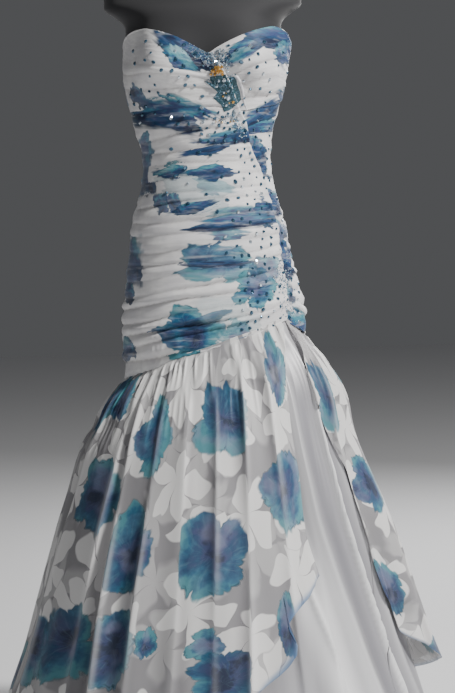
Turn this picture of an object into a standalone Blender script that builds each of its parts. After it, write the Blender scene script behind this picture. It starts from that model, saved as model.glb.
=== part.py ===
import math

import bmesh
import bpy
from mathutils import Matrix, Vector

# A strapless mermaid prom dress on the limbless dress form that fills it.
# Metres, +Z up, the front faces -Y and the viewer's right is +X.
# Angles go round the body in degrees: 0 front centre, 90 viewer's right, 180 back.

for leftover in list(bpy.data.objects):
    bpy.data.objects.remove(leftover)

# Driving dimensions.
bodice_wall = 0.0022
satin_wall = 0.0016
organza_wall = 0.0018
seam_gap = 0.0003
waist_gap = 0.0012
gather_gap = 0.0012
layer_gap = 0.0009
form_clearance = 0.0023
form_fullness = 0.86
fullest_bust = 1.262
bust_angle = 30.0
bust_spread = 16.0
bust_lift = 0.036
bust_rise_above = 0.045
bust_rise_below = 0.030
gather_pull = 1.3
fold_drift = 0.005
full_skirt_drop = 0.70
row_crowding = 1.45
gore_gap = 0.06
tuck_at_seam = 0.0012
tuck_growth = 0.0040
tuck_grown_drop = 0.05
tuck_faded_drop = 0.35
form_end = 0.700
pole_radius = 0.0125
base_radius = 0.200
base_height = 0.012
zip_top = 1.2455
zip_end = 0.858
zip_width = 0.0034
zip_thick = 0.0018
zip_opening = 0.004
zip_flat_spread = 7

# Mean outside of the dress down to the dropped waist.
body_columns = {"left": 1, "right": 2, "front": 3, "back": 4}
body_sections = (
    (0.700, 0.1560, 0.1630, 0.105, 0.125),
    (0.740, 0.1535, 0.1625, 0.105, 0.126),
    (0.780, 0.1555, 0.1600, 0.106, 0.127),
    (0.820, 0.1560, 0.1630, 0.107, 0.128),
    (0.860, 0.1515, 0.1570, 0.107, 0.127),
    (0.900, 0.1475, 0.1480, 0.105, 0.122),
    (0.940, 0.1425, 0.1400, 0.102, 0.115),
    (0.980, 0.1380, 0.1340, 0.098, 0.105),
    (1.020, 0.1275, 0.1255, 0.093, 0.095),
    (1.060, 0.1170, 0.1160, 0.089, 0.087),
    (1.100, 0.1130, 0.1115, 0.087, 0.085),
    (1.140, 0.1190, 0.1160, 0.089, 0.087),
    (1.180, 0.1300, 0.1260, 0.093, 0.091),
    (1.220, 0.1400, 0.1390, 0.096, 0.095),
    (1.260, 0.1450, 0.1480, 0.096, 0.096),
    (1.300, 0.1430, 0.1550, 0.094, 0.092),
    (1.340, 0.1430, 0.1580, 0.092, 0.088),
)

# Edges that run round the body: degrees, height.
neckline = (
    (-180, 1.246),
    (-140, 1.260),
    (-110, 1.284),
    (-90, 1.303),
    (-70, 1.320),
    (-56, 1.326),
    (-44, 1.327),
    (-34, 1.323),
    (-27, 1.318),
    (-19, 1.310),
    (-12, 1.300),
    (-5, 1.289),
    (3, 1.279),
    (8, 1.287),
    (14, 1.296),
    (20, 1.304),
    (27, 1.312),
    (34, 1.318),
    (42, 1.323),
    (50, 1.326),
    (59, 1.324),
    (70, 1.317),
    (80, 1.307),
    (90, 1.295),
    (110, 1.278),
    (140, 1.260),
    (180, 1.246),
)
dropped_waist = (
    (-180, 0.745),
    (-140, 0.728),
    (-90, 0.714),
    (-70, 0.720),
    (-46, 0.733),
    (-26, 0.752),
    (-9, 0.763),
    (0, 0.770),
    (17, 0.786),
    (32, 0.797),
    (44, 0.809),
    (51, 0.813),
    (58, 0.806),
    (75, 0.792),
    (90, 0.785),
    (140, 0.762),
    (180, 0.745),
)
under_bust = (
    (26, 1.180),
    (60, 1.190),
    (90, 1.203),
)

# The gathered edge of the front drape: height, degrees.
gather_line = (
    (0.800, 51.0),
    (0.850, 54.0),
    (0.890, 55.5),
    (0.930, 57.5),
    (0.970, 58.5),
    (1.010, 58.0),
    (1.050, 56.0),
    (1.082, 51.5),
    (1.117, 40.0),
    (1.160, 33.0),
    (1.180, 26.5),
    (1.213, 18.5),
    (1.248, 10.7),
    (1.279, 3.0),
)

# How far the skirts stand out from the hips: drop below the seam, then each side.
flare_columns = {"left": 1, "front": 2, "right": 3, "back": 4}
flare = (
    (0.000, 0.000, 0.000, 0.000, 0.000),
    (0.020, 0.018, 0.012, 0.013, 0.012),
    (0.045, 0.038, 0.028, 0.034, 0.028),
    (0.080, 0.054, 0.050, 0.056, 0.050),
    (0.120, 0.080, 0.072, 0.072, 0.074),
    (0.160, 0.094, 0.092, 0.079, 0.096),
    (0.200, 0.106, 0.110, 0.091, 0.118),
    (0.260, 0.126, 0.136, 0.115, 0.148),
    (0.320, 0.142, 0.160, 0.138, 0.176),
    (0.400, 0.161, 0.190, 0.163, 0.208),
    (0.480, 0.182, 0.217, 0.185, 0.238),
    (0.560, 0.212, 0.243, 0.208, 0.268),
    (0.640, 0.240, 0.266, 0.236, 0.298),
    (0.740, 0.270, 0.290, 0.270, 0.330),
)
satin_share = (
    (0.000, 0.800),
    (0.020, 0.800),
    (0.050, 0.860),
    (0.150, 0.850),
    (0.350, 0.780),
    (0.560, 0.715),
    (0.740, 0.720),
)

# The hem of the satin underskirt: degrees, height.
satin_hem = (
    (-180, 0.024),
    (-90, 0.024),
    (0, 0.024),
    (90, 0.026),
    (180, 0.024),
)

# Free edges of the overskirt: drop below the seam, degrees.
front_edge = (
    (0.000, 49.5),
    (0.040, 43.0),
    (0.090, 38.0),
    (0.160, 35.5),
    (0.240, 35.0),
    (0.330, 33.5),
    (0.408, 36.0),
)
side_edge = (
    (0.000, 52.5),
    (0.040, 49.5),
    (0.080, 47.5),
    (0.120, 47.5),
    (0.160, 51.0),
    (0.210, 56.0),
    (0.240, 56.0),
    (0.270, 54.0),
    (0.310, 54.5),
    (0.350, 54.0),
    (0.390, 56.0),
    (0.450, 56.5),
    (0.510, 58.5),
)
overskirt_hem = (
    (-180, 0.036),
    (-90, 0.040),
    (-60, 0.046),
    (-30, 0.062),
    (-15, 0.110),
    (0, 0.165),
    (8, 0.205),
    (14, 0.255),
    (18, 0.305),
    (22, 0.340),
    (28, 0.362),
    (36, 0.394),
)
side_hem = (
    (57, 0.279),
    (66, 0.250),
    (78, 0.216),
    (90, 0.189),
    (102, 0.160),
    (125, 0.100),
    (150, 0.052),
    (180, 0.036),
)

# Ridges of the gathered front drape: share down the panel, height, centre, spread.
drape_folds = (
    (0.022, 0.0010, 0.95, 0.45),
    (0.060, 0.0014, 0.85, 0.40),
    (0.098, 0.0016, 0.80, 0.38),
    (0.138, 0.0016, 0.85, 0.36),
    (0.178, 0.0020, 0.75, 0.45),
    (0.222, 0.0022, 0.45, 0.50),
    (0.262, 0.0026, 0.35, 0.55),
    (0.305, 0.0016, 0.80, 0.45),
    (0.345, 0.0020, 0.70, 0.50),
    (0.388, 0.0014, 0.30, 0.50),
    (0.430, 0.0020, 0.75, 0.50),
    (0.470, 0.0016, 0.55, 0.45),
    (0.512, 0.0024, 0.65, 0.60),
    (0.556, 0.0018, 0.35, 0.50),
    (0.600, 0.0028, 0.70, 0.55),
    (0.642, 0.0024, 0.30, 0.55),
    (0.686, 0.0034, 0.60, 0.60),
    (0.728, 0.0030, 0.45, 0.60),
    (0.772, 0.0038, 0.55, 0.60),
    (0.815, 0.0032, 0.25, 0.50),
    (0.858, 0.0042, 0.50, 0.60),
    (0.902, 0.0036, 0.35, 0.60),
    (0.948, 0.0030, 0.60, 0.50),
)
cup_folds = (
    (0.10, 0.0012, 0.10, 0.50),
    (0.30, 0.0016, 0.20, 0.50),
    (0.52, 0.0018, 0.15, 0.60),
    (0.74, 0.0022, 0.30, 0.70),
    (0.92, 0.0016, 0.60, 0.60),
)
side_folds = (
    (0.06, 0.0012, 0.3, 0.6),
    (0.15, 0.0016, 0.3, 0.6),
    (0.25, 0.0014, 0.5, 0.6),
    (0.35, 0.0018, 0.3, 0.6),
    (0.45, 0.0016, 0.5, 0.6),
    (0.54, 0.0022, 0.4, 0.6),
    (0.63, 0.0018, 0.6, 0.6),
    (0.72, 0.0026, 0.4, 0.7),
    (0.80, 0.0030, 0.4, 0.7),
    (0.88, 0.0034, 0.5, 0.7),
    (0.96, 0.0026, 0.4, 0.7),
)
back_folds = (
    (0.08, 0.0012, 0.5, 0.6),
    (0.19, 0.0016, 0.4, 0.6),
    (0.30, 0.0014, 0.6, 0.6),
    (0.40, 0.0018, 0.4, 0.7),
    (0.50, 0.0016, 0.6, 0.6),
    (0.60, 0.0022, 0.5, 0.6),
    (0.69, 0.0024, 0.4, 0.7),
    (0.78, 0.0030, 0.5, 0.7),
    (0.87, 0.0032, 0.6, 0.7),
    (0.95, 0.0026, 0.5, 0.7),
)

# Large soft flutes of the skirts: degrees at the hem, height there, width, lean to the seam.
organza_flutes = (
    (-168, 0.034, 8.0, 0.9),
    (-146, 0.028, 7.0, 0.9),
    (-122, 0.036, 8.0, 0.9),
    (-99, 0.026, 7.0, 0.9),
    (-79, 0.024, 6.5, 0.9),
    (-62, 0.036, 7.0, 0.88),
    (-45, 0.028, 5.5, 0.88),
    (-29, 0.034, 6.5, 0.86),
    (-12, 0.030, 5.5, 0.86),
    (4, 0.034, 6.0, 0.88),
    (20, 0.026, 5.0, 0.95),
    (34, 0.022, 4.5, 1.0),
    (58, 0.020, 5.0, 0.95),
    (74, 0.026, 6.0, 0.95),
    (92, 0.022, 6.5, 0.95),
    (113, 0.034, 8.0, 0.95),
    (136, 0.030, 8.0, 0.9),
    (160, 0.034, 8.0, 0.9),
)
satin_flutes = (
    (-156, 0.022, 9.0, 0.9),
    (-124, 0.026, 9.0, 0.9),
    (-92, 0.022, 9.0, 0.9),
    (-60, 0.026, 9.0, 0.9),
    (-30, 0.024, 8.0, 0.9),
    (-2, 0.026, 8.0, 0.9),
    (22, 0.020, 6.0, 0.95),
    (38, 0.022, 5.0, 1.0),
    (61, 0.026, 6.0, 0.95),
    (86, 0.022, 8.0, 0.9),
    (118, 0.026, 9.0, 0.9),
    (150, 0.022, 9.0, 0.9),
)

# The dress form above and below the dress: height, half width, half depth, centre back.
form_neck = (
    (1.300, 0.144, 0.094, 0.000),
    (1.340, 0.158, 0.088, 0.002),
    (1.375, 0.176, 0.078, 0.006),
    (1.400, 0.176, 0.068, 0.010),
    (1.425, 0.150, 0.062, 0.012),
    (1.445, 0.105, 0.060, 0.014),
    (1.462, 0.068, 0.058, 0.014),
    (1.485, 0.056, 0.055, 0.014),
    (1.512, 0.054, 0.054, 0.014),
)


def between(low, high, share):
    return low + (high - low) * share


def joined_slope(before, after):
    if before * after <= 0:
        return 0.0
    return 2 * before * after / (before + after)


def reading(table, at, column=1):
    # A smooth curve through the table's rows that never overshoots them.
    if at <= table[0][0]:
        return table[0][column]
    if at >= table[-1][0]:
        return table[-1][column]
    high = next(row for row in range(1, len(table)) if at <= table[row][0])
    slopes = [
        (table[row][column] - table[row - 1][column]) / (table[row][0] - table[row - 1][0])
        for row in range(1, len(table))
    ]
    inner = slopes[high - 1]
    start = joined_slope(slopes[high - 2], inner) if high > 1 else inner
    end = joined_slope(inner, slopes[high]) if high < len(slopes) else inner
    span = table[high][0] - table[high - 1][0]
    share = (at - table[high - 1][0]) / span
    rest = 1 - share
    return (
        table[high - 1][column] * (1 + 2 * share) * rest * rest
        + table[high][column] * (3 - 2 * share) * share * share
        + span * share * rest * (start * rest - end * share)
    )


def bell(distance, spread):
    return math.exp(-0.5 * (distance / spread) ** 2)


def body_section(angle, height, symmetric=False):
    # The section's outside point and its outward direction, both level.
    turn = math.radians(angle)
    side = math.sin(turn)
    front = math.cos(turn)
    left = reading(body_sections, height, body_columns["left"])
    right = reading(body_sections, height, body_columns["right"])
    wide = left if side < 0 else right
    if symmetric:
        wide = min(left, right)
    deep = reading(body_sections, height, body_columns["front" if front > 0 else "back"])
    outward = Vector((side / wide, -front / deep, 0)).normalized()
    return Vector((wide * side, -deep * front, height)), outward


def bust(angle, height):
    rise = bust_rise_above if height > fullest_bust else bust_rise_below
    level = bell(height - fullest_bust, rise)
    around = bell(angle - bust_angle, bust_spread) + bell(angle + bust_angle, bust_spread)
    return bust_lift * level * around


def bodice_point(angle, height, out, symmetric=False):
    point, outward = body_section(angle, height, symmetric)
    fullness = form_fullness if symmetric else 1.0
    return point + outward * (out + fullness * bust(angle, height))


def bodice_wall_point(angle, height, fold, layer):
    return bodice_point(angle, height, fold if layer else -bodice_wall)


def fold_rows(folds):
    # Shares down a panel: its top, then a ridge and a valley for every fold, then its foot.
    rows = [0.0]
    for index, fold in enumerate(folds):
        rows.append(fold[0])
        after = folds[index + 1][0] if index + 1 < len(folds) else 2 - fold[0]
        rows.append(min(1.0, (fold[0] + after) / 2))
    return rows


def fold_height(folds, row, across):
    # Ridges sit on the odd rows, and every one fades away from its own centre.
    if row % 2 == 0:
        return 0.0
    share, height, centre, spread = folds[row // 2]
    ripple = 1 + 0.25 * math.sin(7 * across + 40 * share)
    return height * (0.3 + 0.7 * bell(across - centre, spread)) * ripple


def fold_wander(rows, row, across):
    if row in (0, len(rows) - 1):
        return rows[row]
    drift = math.sin(5 * across + 1.9 * row) * math.sin(math.pi * across)
    return rows[row] + fold_drift * drift


def cloth(name, columns, rows, place, material):
    # One closed layer of cloth: place maps a column, a row and a side to its point.
    mesh = bmesh.new()
    bmesh.ops.create_grid(mesh, x_segments=columns, y_segments=rows, size=0.5)
    made = bmesh.ops.extrude_face_region(mesh, geom=mesh.faces[:])
    for vertex in made["geom"]:
        if isinstance(vertex, bmesh.types.BMVert):
            vertex.co.z = 1
    for vertex in mesh.verts:
        column = round((vertex.co.x + 0.5) * columns)
        row = round((vertex.co.y + 0.5) * rows)
        vertex.co = place(column, row, vertex.co.z > 0.5)
    bmesh.ops.recalc_face_normals(mesh, faces=mesh.faces[:])
    return keep(name, mesh, material)


def keep(name, mesh, material):
    data = bpy.data.meshes.new(name)
    mesh.to_mesh(data)
    mesh.free()
    data.materials.append(material)
    made = bpy.data.objects.new(name, data)
    dress.objects.link(made)
    return made


def paint(name, colour, roughness, metallic=0.0):
    made = bpy.data.materials.new(name)
    made.use_nodes = True
    shader = made.node_tree.nodes["Principled BSDF"]
    shader.inputs["Base Color"].default_value = (*colour, 1)
    shader.inputs["Roughness"].default_value = roughness
    shader.inputs["Metallic"].default_value = metallic
    return made


dress = bpy.data.collections.new("mermaid_prom_dress")
bpy.context.scene.collection.children.link(dress)
printed = paint("printed_organza", (0.72, 0.77, 0.84), 0.62)
sheer = paint("burnout_organza", (0.55, 0.62, 0.72), 0.58)
satin = paint("white_satin", (0.80, 0.81, 0.84), 0.34)
crystal = paint("crystal_beading", (0.42, 0.55, 0.68), 0.15, 0.4)
nickel = paint("nickel", (0.62, 0.62, 0.64), 0.28, 1.0)
tape = paint("zip_tape", (0.78, 0.79, 0.82), 0.6)
black = paint("black_jersey", (0.012, 0.012, 0.014), 0.75)
lacquer = paint("black_lacquer", (0.015, 0.015, 0.016), 0.35)


def gap_angle(height, gap):
    # The degrees that a level gap takes at a side or a gathered edge.
    narrow = min(reading(body_sections, height, body_columns[side]) for side in ("left", "right"))
    return math.degrees(gap / narrow)


def front_drape_point(column, row, layer):
    across = column / front_drape_columns
    rows = fold_rows(drape_folds)
    share = fold_wander(rows, row, across)
    pulled = between(share, share**gather_pull, across * across)
    top_angle = between(-90, 3, across)
    foot_angle = between(-90, 51, across)
    top = reading(neckline, top_angle)
    foot = reading(dropped_waist, foot_angle) + seam_gap / 2
    end_height = between(reading(neckline, 3), reading(dropped_waist, 51), share**gather_pull)
    last = reading(gather_line, end_height) - gap_angle(end_height, seam_gap)
    angle = between(-90, last, across)
    height = between(top, foot, pulled)
    return bodice_wall_point(angle, height, fold_height(drape_folds, row, across), layer)


front_drape_columns = 20
cloth("front_drape", front_drape_columns, 2 * len(drape_folds), front_drape_point, printed)


def cup_point(column, row, layer):
    across = column / cup_columns
    share = fold_rows(cup_folds)[row]
    end_height = between(reading(neckline, 3), reading(under_bust, 26), share)
    first = reading(gather_line, end_height) + gap_angle(end_height, seam_gap)
    angle = between(first, 90 - gap_angle(1.25, seam_gap), across)
    top = reading(neckline, between(3, 90, across))
    foot = reading(under_bust, between(26, 90, across)) + seam_gap / 2
    height = between(top, foot, share)
    return bodice_wall_point(angle, height, fold_height(cup_folds, row, across), layer)


cup_columns = 12
cloth("cup_right", cup_columns, 2 * len(cup_folds), cup_point, printed)


def side_panel_point(column, row, layer):
    across = column / side_columns
    share = fold_rows(side_folds)[row]
    end_height = between(reading(under_bust, 26), reading(dropped_waist, 51), share)
    first = reading(gather_line, end_height) + gap_angle(end_height, gather_gap)
    angle = between(first, 90 - gap_angle(end_height, seam_gap), across)
    top = reading(under_bust, between(26, 90, across)) - seam_gap / 2
    foot = reading(dropped_waist, between(51, 90, across)) + seam_gap / 2
    height = between(top, foot, share)
    return bodice_wall_point(angle, height, fold_height(side_folds, row, across), layer)


side_columns = 6
cloth("side_panel_right", side_columns, 2 * len(side_folds), side_panel_point, printed)


def back_angles(height, right):
    # The back halves stop beside the zip, and meet below it.
    reach = zip_width / 2 + seam_gap if height > zip_end - zip_opening else seam_gap
    if right:
        return 90, 180 - gap_angle(height, reach)
    return -180 + gap_angle(height, reach), -90 - gap_angle(height, seam_gap)


def back_panel(name, right):
    def place(column, row, layer):
        across = column / back_columns
        share = fold_rows(back_folds)[row]
        side = between(90, 180, across) if right else between(-180, -90, across)
        top = reading(neckline, side)
        foot = reading(dropped_waist, side) + seam_gap / 2
        height = between(top, foot, share)
        start, end = back_angles(height, right)
        angle = between(start, end, across)
        beside_zip = 1 - bell(180 - abs(angle), zip_flat_spread)
        fold = fold_height(back_folds, row, across) * beside_zip
        return bodice_wall_point(angle, height, fold, layer)

    return cloth(name, back_columns, 2 * len(back_folds), place, printed)


back_columns = 8
back_panel("back_panel_right", True)
back_panel("back_panel_left", False)


def flare_at(angle, drop):
    turn = math.radians(angle)
    side = math.sin(turn)
    front = math.cos(turn)
    across = reading(flare, drop, flare_columns["left" if side < 0 else "right"])
    along = reading(flare, drop, flare_columns["front" if front > 0 else "back"])
    return across * side * side + along * front * front


def flutes(table, angle, share):
    # Soft ridges that grow down the skirt and lean together towards the seam.
    height = 0.0
    for at, tall, width, lean in table:
        centre = at * between(lean, 1.0, share)
        apart = (angle - centre + 180) % 360 - 180
        height += tall * bell(apart, width)
    return height * share * share * (1.6 - 0.6 * share)


def skirt_ray(angle, drop):
    height = reading(dropped_waist, angle)
    point, outward = body_section(angle, height)
    return point - Vector((0, 0, drop)), outward


def satin_out(angle, drop):
    room = flare_at(angle, drop) * (1 - reading(satin_share, drop))
    folds = flutes(satin_flutes, angle, min(1.0, drop / full_skirt_drop))
    return flare_at(angle, drop) - room + min(folds, 0.8 * room)


def satin_gore(name, start, end, columns):
    def place(column, row, layer):
        angle = between(start, end, column / columns)
        seam = reading(dropped_waist, angle)
        tall = seam - reading(satin_hem, angle)
        drop = between(waist_gap, tall, (row / satin_rows) ** row_crowding)
        point, outward = skirt_ray(angle, drop)
        inside = satin_out(angle, drop) - bodice_wall
        return point + outward * (inside + satin_wall * layer)

    return cloth(name, columns, satin_rows, place, satin)


satin_rows = 10
satin_gore("underskirt_front", -65 + gore_gap, 65 - gore_gap, 26)
satin_gore("underskirt_right", 65 + gore_gap, 180 - gore_gap, 22)
satin_gore("underskirt_left", -180 + gore_gap, -65 - gore_gap, 22)


def organza_out(angle, drop, gather):
    tucks = tuck_at_seam + tuck_growth * min(1.0, drop / tuck_grown_drop)
    tucks *= max(0.15, 1 - drop / tuck_faded_drop)
    folds = flutes(organza_flutes, angle, min(1.0, drop / full_skirt_drop))
    first = satin_wall - bodice_wall + layer_gap
    return first + flare_at(angle, drop) + folds + tucks * gather


def overskirt(name, columns, rows, outline, gather_at):
    # outline gives the angle at a share across and down, and the drop of the hem there.
    def place(column, row, layer):
        across = column / columns
        share = (row / rows) ** row_crowding
        angle, hem_drop = outline(across, share)
        drop = between(waist_gap, hem_drop, share)
        point, outward = skirt_ray(angle, drop)
        gather = gather_at(column)
        return point + outward * (organza_out(angle, drop, gather) + organza_wall * layer)

    return cloth(name, columns, rows, place, sheer)


def hem_drop_at(hem, angle):
    return reading(dropped_waist, angle) - reading(hem, angle)


def front_outline(across, share):
    tip_drop = hem_drop_at(overskirt_hem, 36)
    edge = reading(front_edge, tip_drop * share)
    angle = between(-90 + gore_gap, edge, across)
    foot_angle = between(-90, 36, across)
    return angle, hem_drop_at(overskirt_hem, foot_angle)


def side_outline(across, share):
    tip_drop = hem_drop_at(side_hem, 57)
    edge = reading(side_edge, tip_drop * share)
    angle = between(edge, 90 - gore_gap, across)
    foot_angle = between(57, 90, across)
    return angle, hem_drop_at(side_hem, foot_angle)


def back_outline(across, share):
    angle = between(90 + gore_gap, 270 - gore_gap, across)
    angle = angle - 360 if angle > 180 else angle
    hem = side_hem if angle > 0 else overskirt_hem
    return angle, hem_drop_at(hem, angle)


def gathers(column):
    # Every other column stands out, by an uneven amount.
    if column % 2 == 0:
        return 0.0
    return 0.75 + 0.25 * math.sin(2.3 * column)


overskirt("overskirt_front", 38, 12, front_outline, gathers)
overskirt("overskirt_right", 12, 12, side_outline, gathers)
overskirt("overskirt_back", 40, 11, back_outline, gathers)


def lathe(name, rings, columns, material, centre_y=0.0):
    # A closed round solid from a ring of columns at every radius and height.
    mesh = bmesh.new()
    bmesh.ops.create_cone(
        mesh,
        cap_ends=True,
        segments=columns,
        radius1=rings[0][0],
        radius2=rings[0][0],
        depth=0.001,
    )
    top = max(mesh.faces, key=lambda face: face.calc_center_median().z)
    for vertex in mesh.verts:
        vertex.co.z = rings[0][1]
    for vertex in top.verts:
        vertex.co.z = rings[1][1]
        vertex.co.xy = vertex.co.xy.normalized() * rings[1][0]
    for radius, height in rings[2:]:
        made = bmesh.ops.extrude_discrete_faces(mesh, faces=[top])
        top = made["faces"][0]
        for vertex in top.verts:
            vertex.co.z = height
            vertex.co.xy = vertex.co.xy.normalized() * radius
    bmesh.ops.translate(mesh, verts=mesh.verts[:], vec=(0, centre_y, 0))
    bmesh.ops.recalc_face_normals(mesh, faces=mesh.faces[:])
    return keep(name, mesh, material)


def form_radii(height):
    # Half width, half depth and centre of the form above the dress.
    return [reading(form_neck, height, column) for column in (1, 2, 3)]


def form_point(angle, height):
    inset = -bodice_wall - form_clearance
    inside = bodice_point(angle, height, inset, symmetric=True)
    if height <= form_neck[0][0]:
        return inside
    turn = math.radians(angle)
    wide, deep, centre = form_radii(height)
    above = Vector((wide * math.sin(turn), centre - deep * math.cos(turn), height))
    blend = min(1.0, max(0.0, (height - form_neck[1][0]) / 0.030))
    return inside.lerp(above, blend)


def dress_form():
    # A ball whose rings become the body's sections, flat at its foot and its neck.
    mesh = bmesh.new()
    bmesh.ops.create_uvsphere(mesh, u_segments=form_columns, v_segments=len(form_rings) + 1, radius=1)
    for vertex in mesh.verts:
        turn = math.acos(max(-1.0, min(1.0, -vertex.co.z)))
        ring = round(turn / math.pi * (len(form_rings) + 1))
        angle = math.degrees(math.atan2(vertex.co.x, -vertex.co.y))
        if ring == 0:
            vertex.co = (0, 0, form_rings[0][0])
        elif ring == len(form_rings) + 1:
            vertex.co = (0, form_neck[-1][3], form_rings[-1][0])
        else:
            height, share = form_rings[ring - 1]
            point = form_point(angle, height)
            centre = Vector((0, form_neck[-1][3] if height > 1.44 else 0, height))
            vertex.co = centre.lerp(point, share)
    bmesh.ops.recalc_face_normals(mesh, faces=mesh.faces[:])
    return keep("dress_form", mesh, black)


# The form's rings: height, share of its full section.
form_columns = 28
form_rings = (
    (0.700, 0.90),
    (0.708, 0.96),
    (0.724, 0.985),
    (0.770, 1.0),
    (0.820, 1.0),
    (0.870, 1.0),
    (0.930, 1.0),
    (0.990, 1.0),
    (1.045, 1.0),
    (1.100, 1.0),
    (1.155, 1.0),
    (1.200, 1.0),
    (1.232, 1.0),
    (1.262, 1.0),
    (1.295, 1.0),
    (1.325, 1.0),
    (1.355, 1.0),
    (1.382, 1.0),
    (1.402, 1.0),
    (1.424, 1.0),
    (1.440, 1.0),
    (1.456, 1.0),
    (1.480, 1.0),
    (1.508, 1.0),
)
dress_form()

neck_centre = form_neck[-1][3]
cap_foot = form_rings[-1][0] + seam_gap
lathe(
    "neck_cap",
    (
        (0.0545, cap_foot),
        (0.0565, cap_foot + 0.002),
        (0.0565, cap_foot + 0.008),
        (0.0480, cap_foot + 0.012),
    ),
    28,
    lacquer,
    neck_centre,
)
lathe(
    "stand_base",
    (
        (base_radius - 0.002, 0.0),
        (base_radius, 0.002),
        (base_radius, base_height - 0.004),
        (base_radius - 0.004, base_height),
    ),
    48,
    lacquer,
)
lathe(
    "stand_pole",
    (
        (pole_radius + 0.010, base_height + seam_gap),
        (pole_radius + 0.010, base_height + 0.020),
        (pole_radius, base_height + 0.028),
        (pole_radius, form_end - seam_gap),
    ),
    24,
    lacquer,
)


def back_place(height, out):
    # A point of the centre back line, out metres off the bodice.
    return bodice_point(180, height, out)


def zip_strip_point(column, row, layer):
    height = between(zip_end, zip_top - 0.001, row / zip_rows)
    point = back_place(height, zip_thick - bodice_wall if layer else -bodice_wall)
    point.x += zip_width * (0.5 - column)
    return point


zip_rows = 20
cloth("zip_strip", 1, zip_rows, zip_strip_point, tape)

slider_height = zip_top - 0.012
slider_wide = 0.0070
slider_tall = 0.0100
slider_thick = 0.0026
ear_gap = 0.0026
ear_thick = 0.0012
pin_radius = 0.0008
pin_out = 0.0034
pin_sink = 0.0008
slider_face = back_place(slider_height, 2 * seam_gap)
lean = back_place(slider_height + 0.01, 0) - back_place(slider_height - 0.01, 0)
slider_turn = Matrix.Rotation(math.atan2(-lean.y, lean.z), 4, "X")
slider_place = Matrix.Translation(slider_face) @ slider_turn


def block(mesh, centre, size):
    made = bmesh.ops.create_cube(mesh, size=1)["verts"]
    bmesh.ops.scale(mesh, vec=size, verts=made)
    bmesh.ops.translate(mesh, vec=centre, verts=made)


def union(target, other):
    # Joins the second piece into the first, and removes it.
    joint = target.modifiers.new("join", "BOOLEAN")
    joint.operation = "UNION"
    joint.solver = "EXACT"
    joint.object = other
    bpy.context.view_layer.update()
    graph = bpy.context.evaluated_depsgraph_get()
    joined = bpy.data.meshes.new_from_object(target.evaluated_get(graph))
    target.modifiers.remove(joint)
    target.data = joined
    bpy.data.objects.remove(other)


def zip_slider():
    mesh = bmesh.new()
    block(mesh, (0, slider_thick / 2, 0), (slider_wide, slider_thick, slider_tall))
    body = keep("zip_slider", mesh, nickel)
    for side in (-1, 1):
        ear = bmesh.new()
        across = side * (ear_gap + ear_thick) / 2
        block(
            ear,
            (across, slider_thick + pin_out / 2, 0),
            (ear_thick, pin_out + 0.0020, 0.0040),
        )
        union(body, keep("ear", ear, nickel))
    pin = bmesh.new()
    pin_place = Matrix.Translation((0, slider_thick + pin_out - pin_sink, 0))
    bmesh.ops.create_cone(
        pin,
        cap_ends=True,
        segments=16,
        radius1=pin_radius,
        radius2=pin_radius,
        depth=ear_gap + ear_thick,
        matrix=pin_place @ Matrix.Rotation(math.pi / 2, 4, "Y"),
    )
    union(body, keep("pin", pin, nickel))
    body.data.transform(slider_place)
    return body


zip_slider()


def zip_pull():
    # A flat tab with an eye round the slider's pin, hanging down at rest.
    profile = bpy.data.curves.new("zip_pull", "CURVE")
    profile.dimensions = "2D"
    profile.fill_mode = "BOTH"
    profile.extrude = tab_wide / 2
    eye_steps = 16
    outer_radius = 0.0018
    inner_radius = 0.0011
    half_plate = 0.0005
    open_turn = math.asin(half_plate / outer_radius)
    outline = [(half_plate, -tab_long), (half_plate, -outer_radius * math.cos(open_turn))]
    for step in range(1, eye_steps):
        turn = between(open_turn, 2 * math.pi - open_turn, step / eye_steps)
        outline.append((outer_radius * math.sin(turn), -outer_radius * math.cos(turn)))
    outline.append((-half_plate, -outer_radius * math.cos(open_turn)))
    outline.append((-half_plate, -tab_long))
    hole = []
    for step in range(eye_steps):
        turn = 2 * math.pi * step / eye_steps
        hole.append((inner_radius * math.sin(turn), inner_radius * math.cos(turn)))
    for points in (outline, hole):
        spline = profile.splines.new("POLY")
        spline.points.add(len(points) - 1)
        spline.use_cyclic_u = True
        for point, (out, up) in zip(spline.points, points):
            point.co = (out, up, 0, 1)
    side = bpy.data.objects.new("zip_pull_side", profile)
    dress.objects.link(side)
    bpy.context.view_layer.update()
    graph = bpy.context.evaluated_depsgraph_get()
    data = bpy.data.meshes.new_from_object(side.evaluated_get(graph))
    bpy.data.objects.remove(side)
    mesh = bmesh.new()
    mesh.from_mesh(data)
    bmesh.ops.remove_doubles(mesh, verts=mesh.verts[:], dist=0.00001)
    stand_up = Matrix(((0, 0, 1, 0), (1, 0, 0, 0), (0, 1, 0, 0), (0, 0, 0, 1)))
    bmesh.ops.transform(mesh, matrix=stand_up, verts=mesh.verts[:])
    bmesh.ops.recalc_face_normals(mesh, faces=mesh.faces[:])
    tab = keep("zip_pull", mesh, nickel)
    tab.location = slider_place @ Vector((0, slider_thick + pin_out - pin_sink, 0))
    return tab


tab_wide = 0.0020
tab_long = 0.0190
zip_pull()


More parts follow.
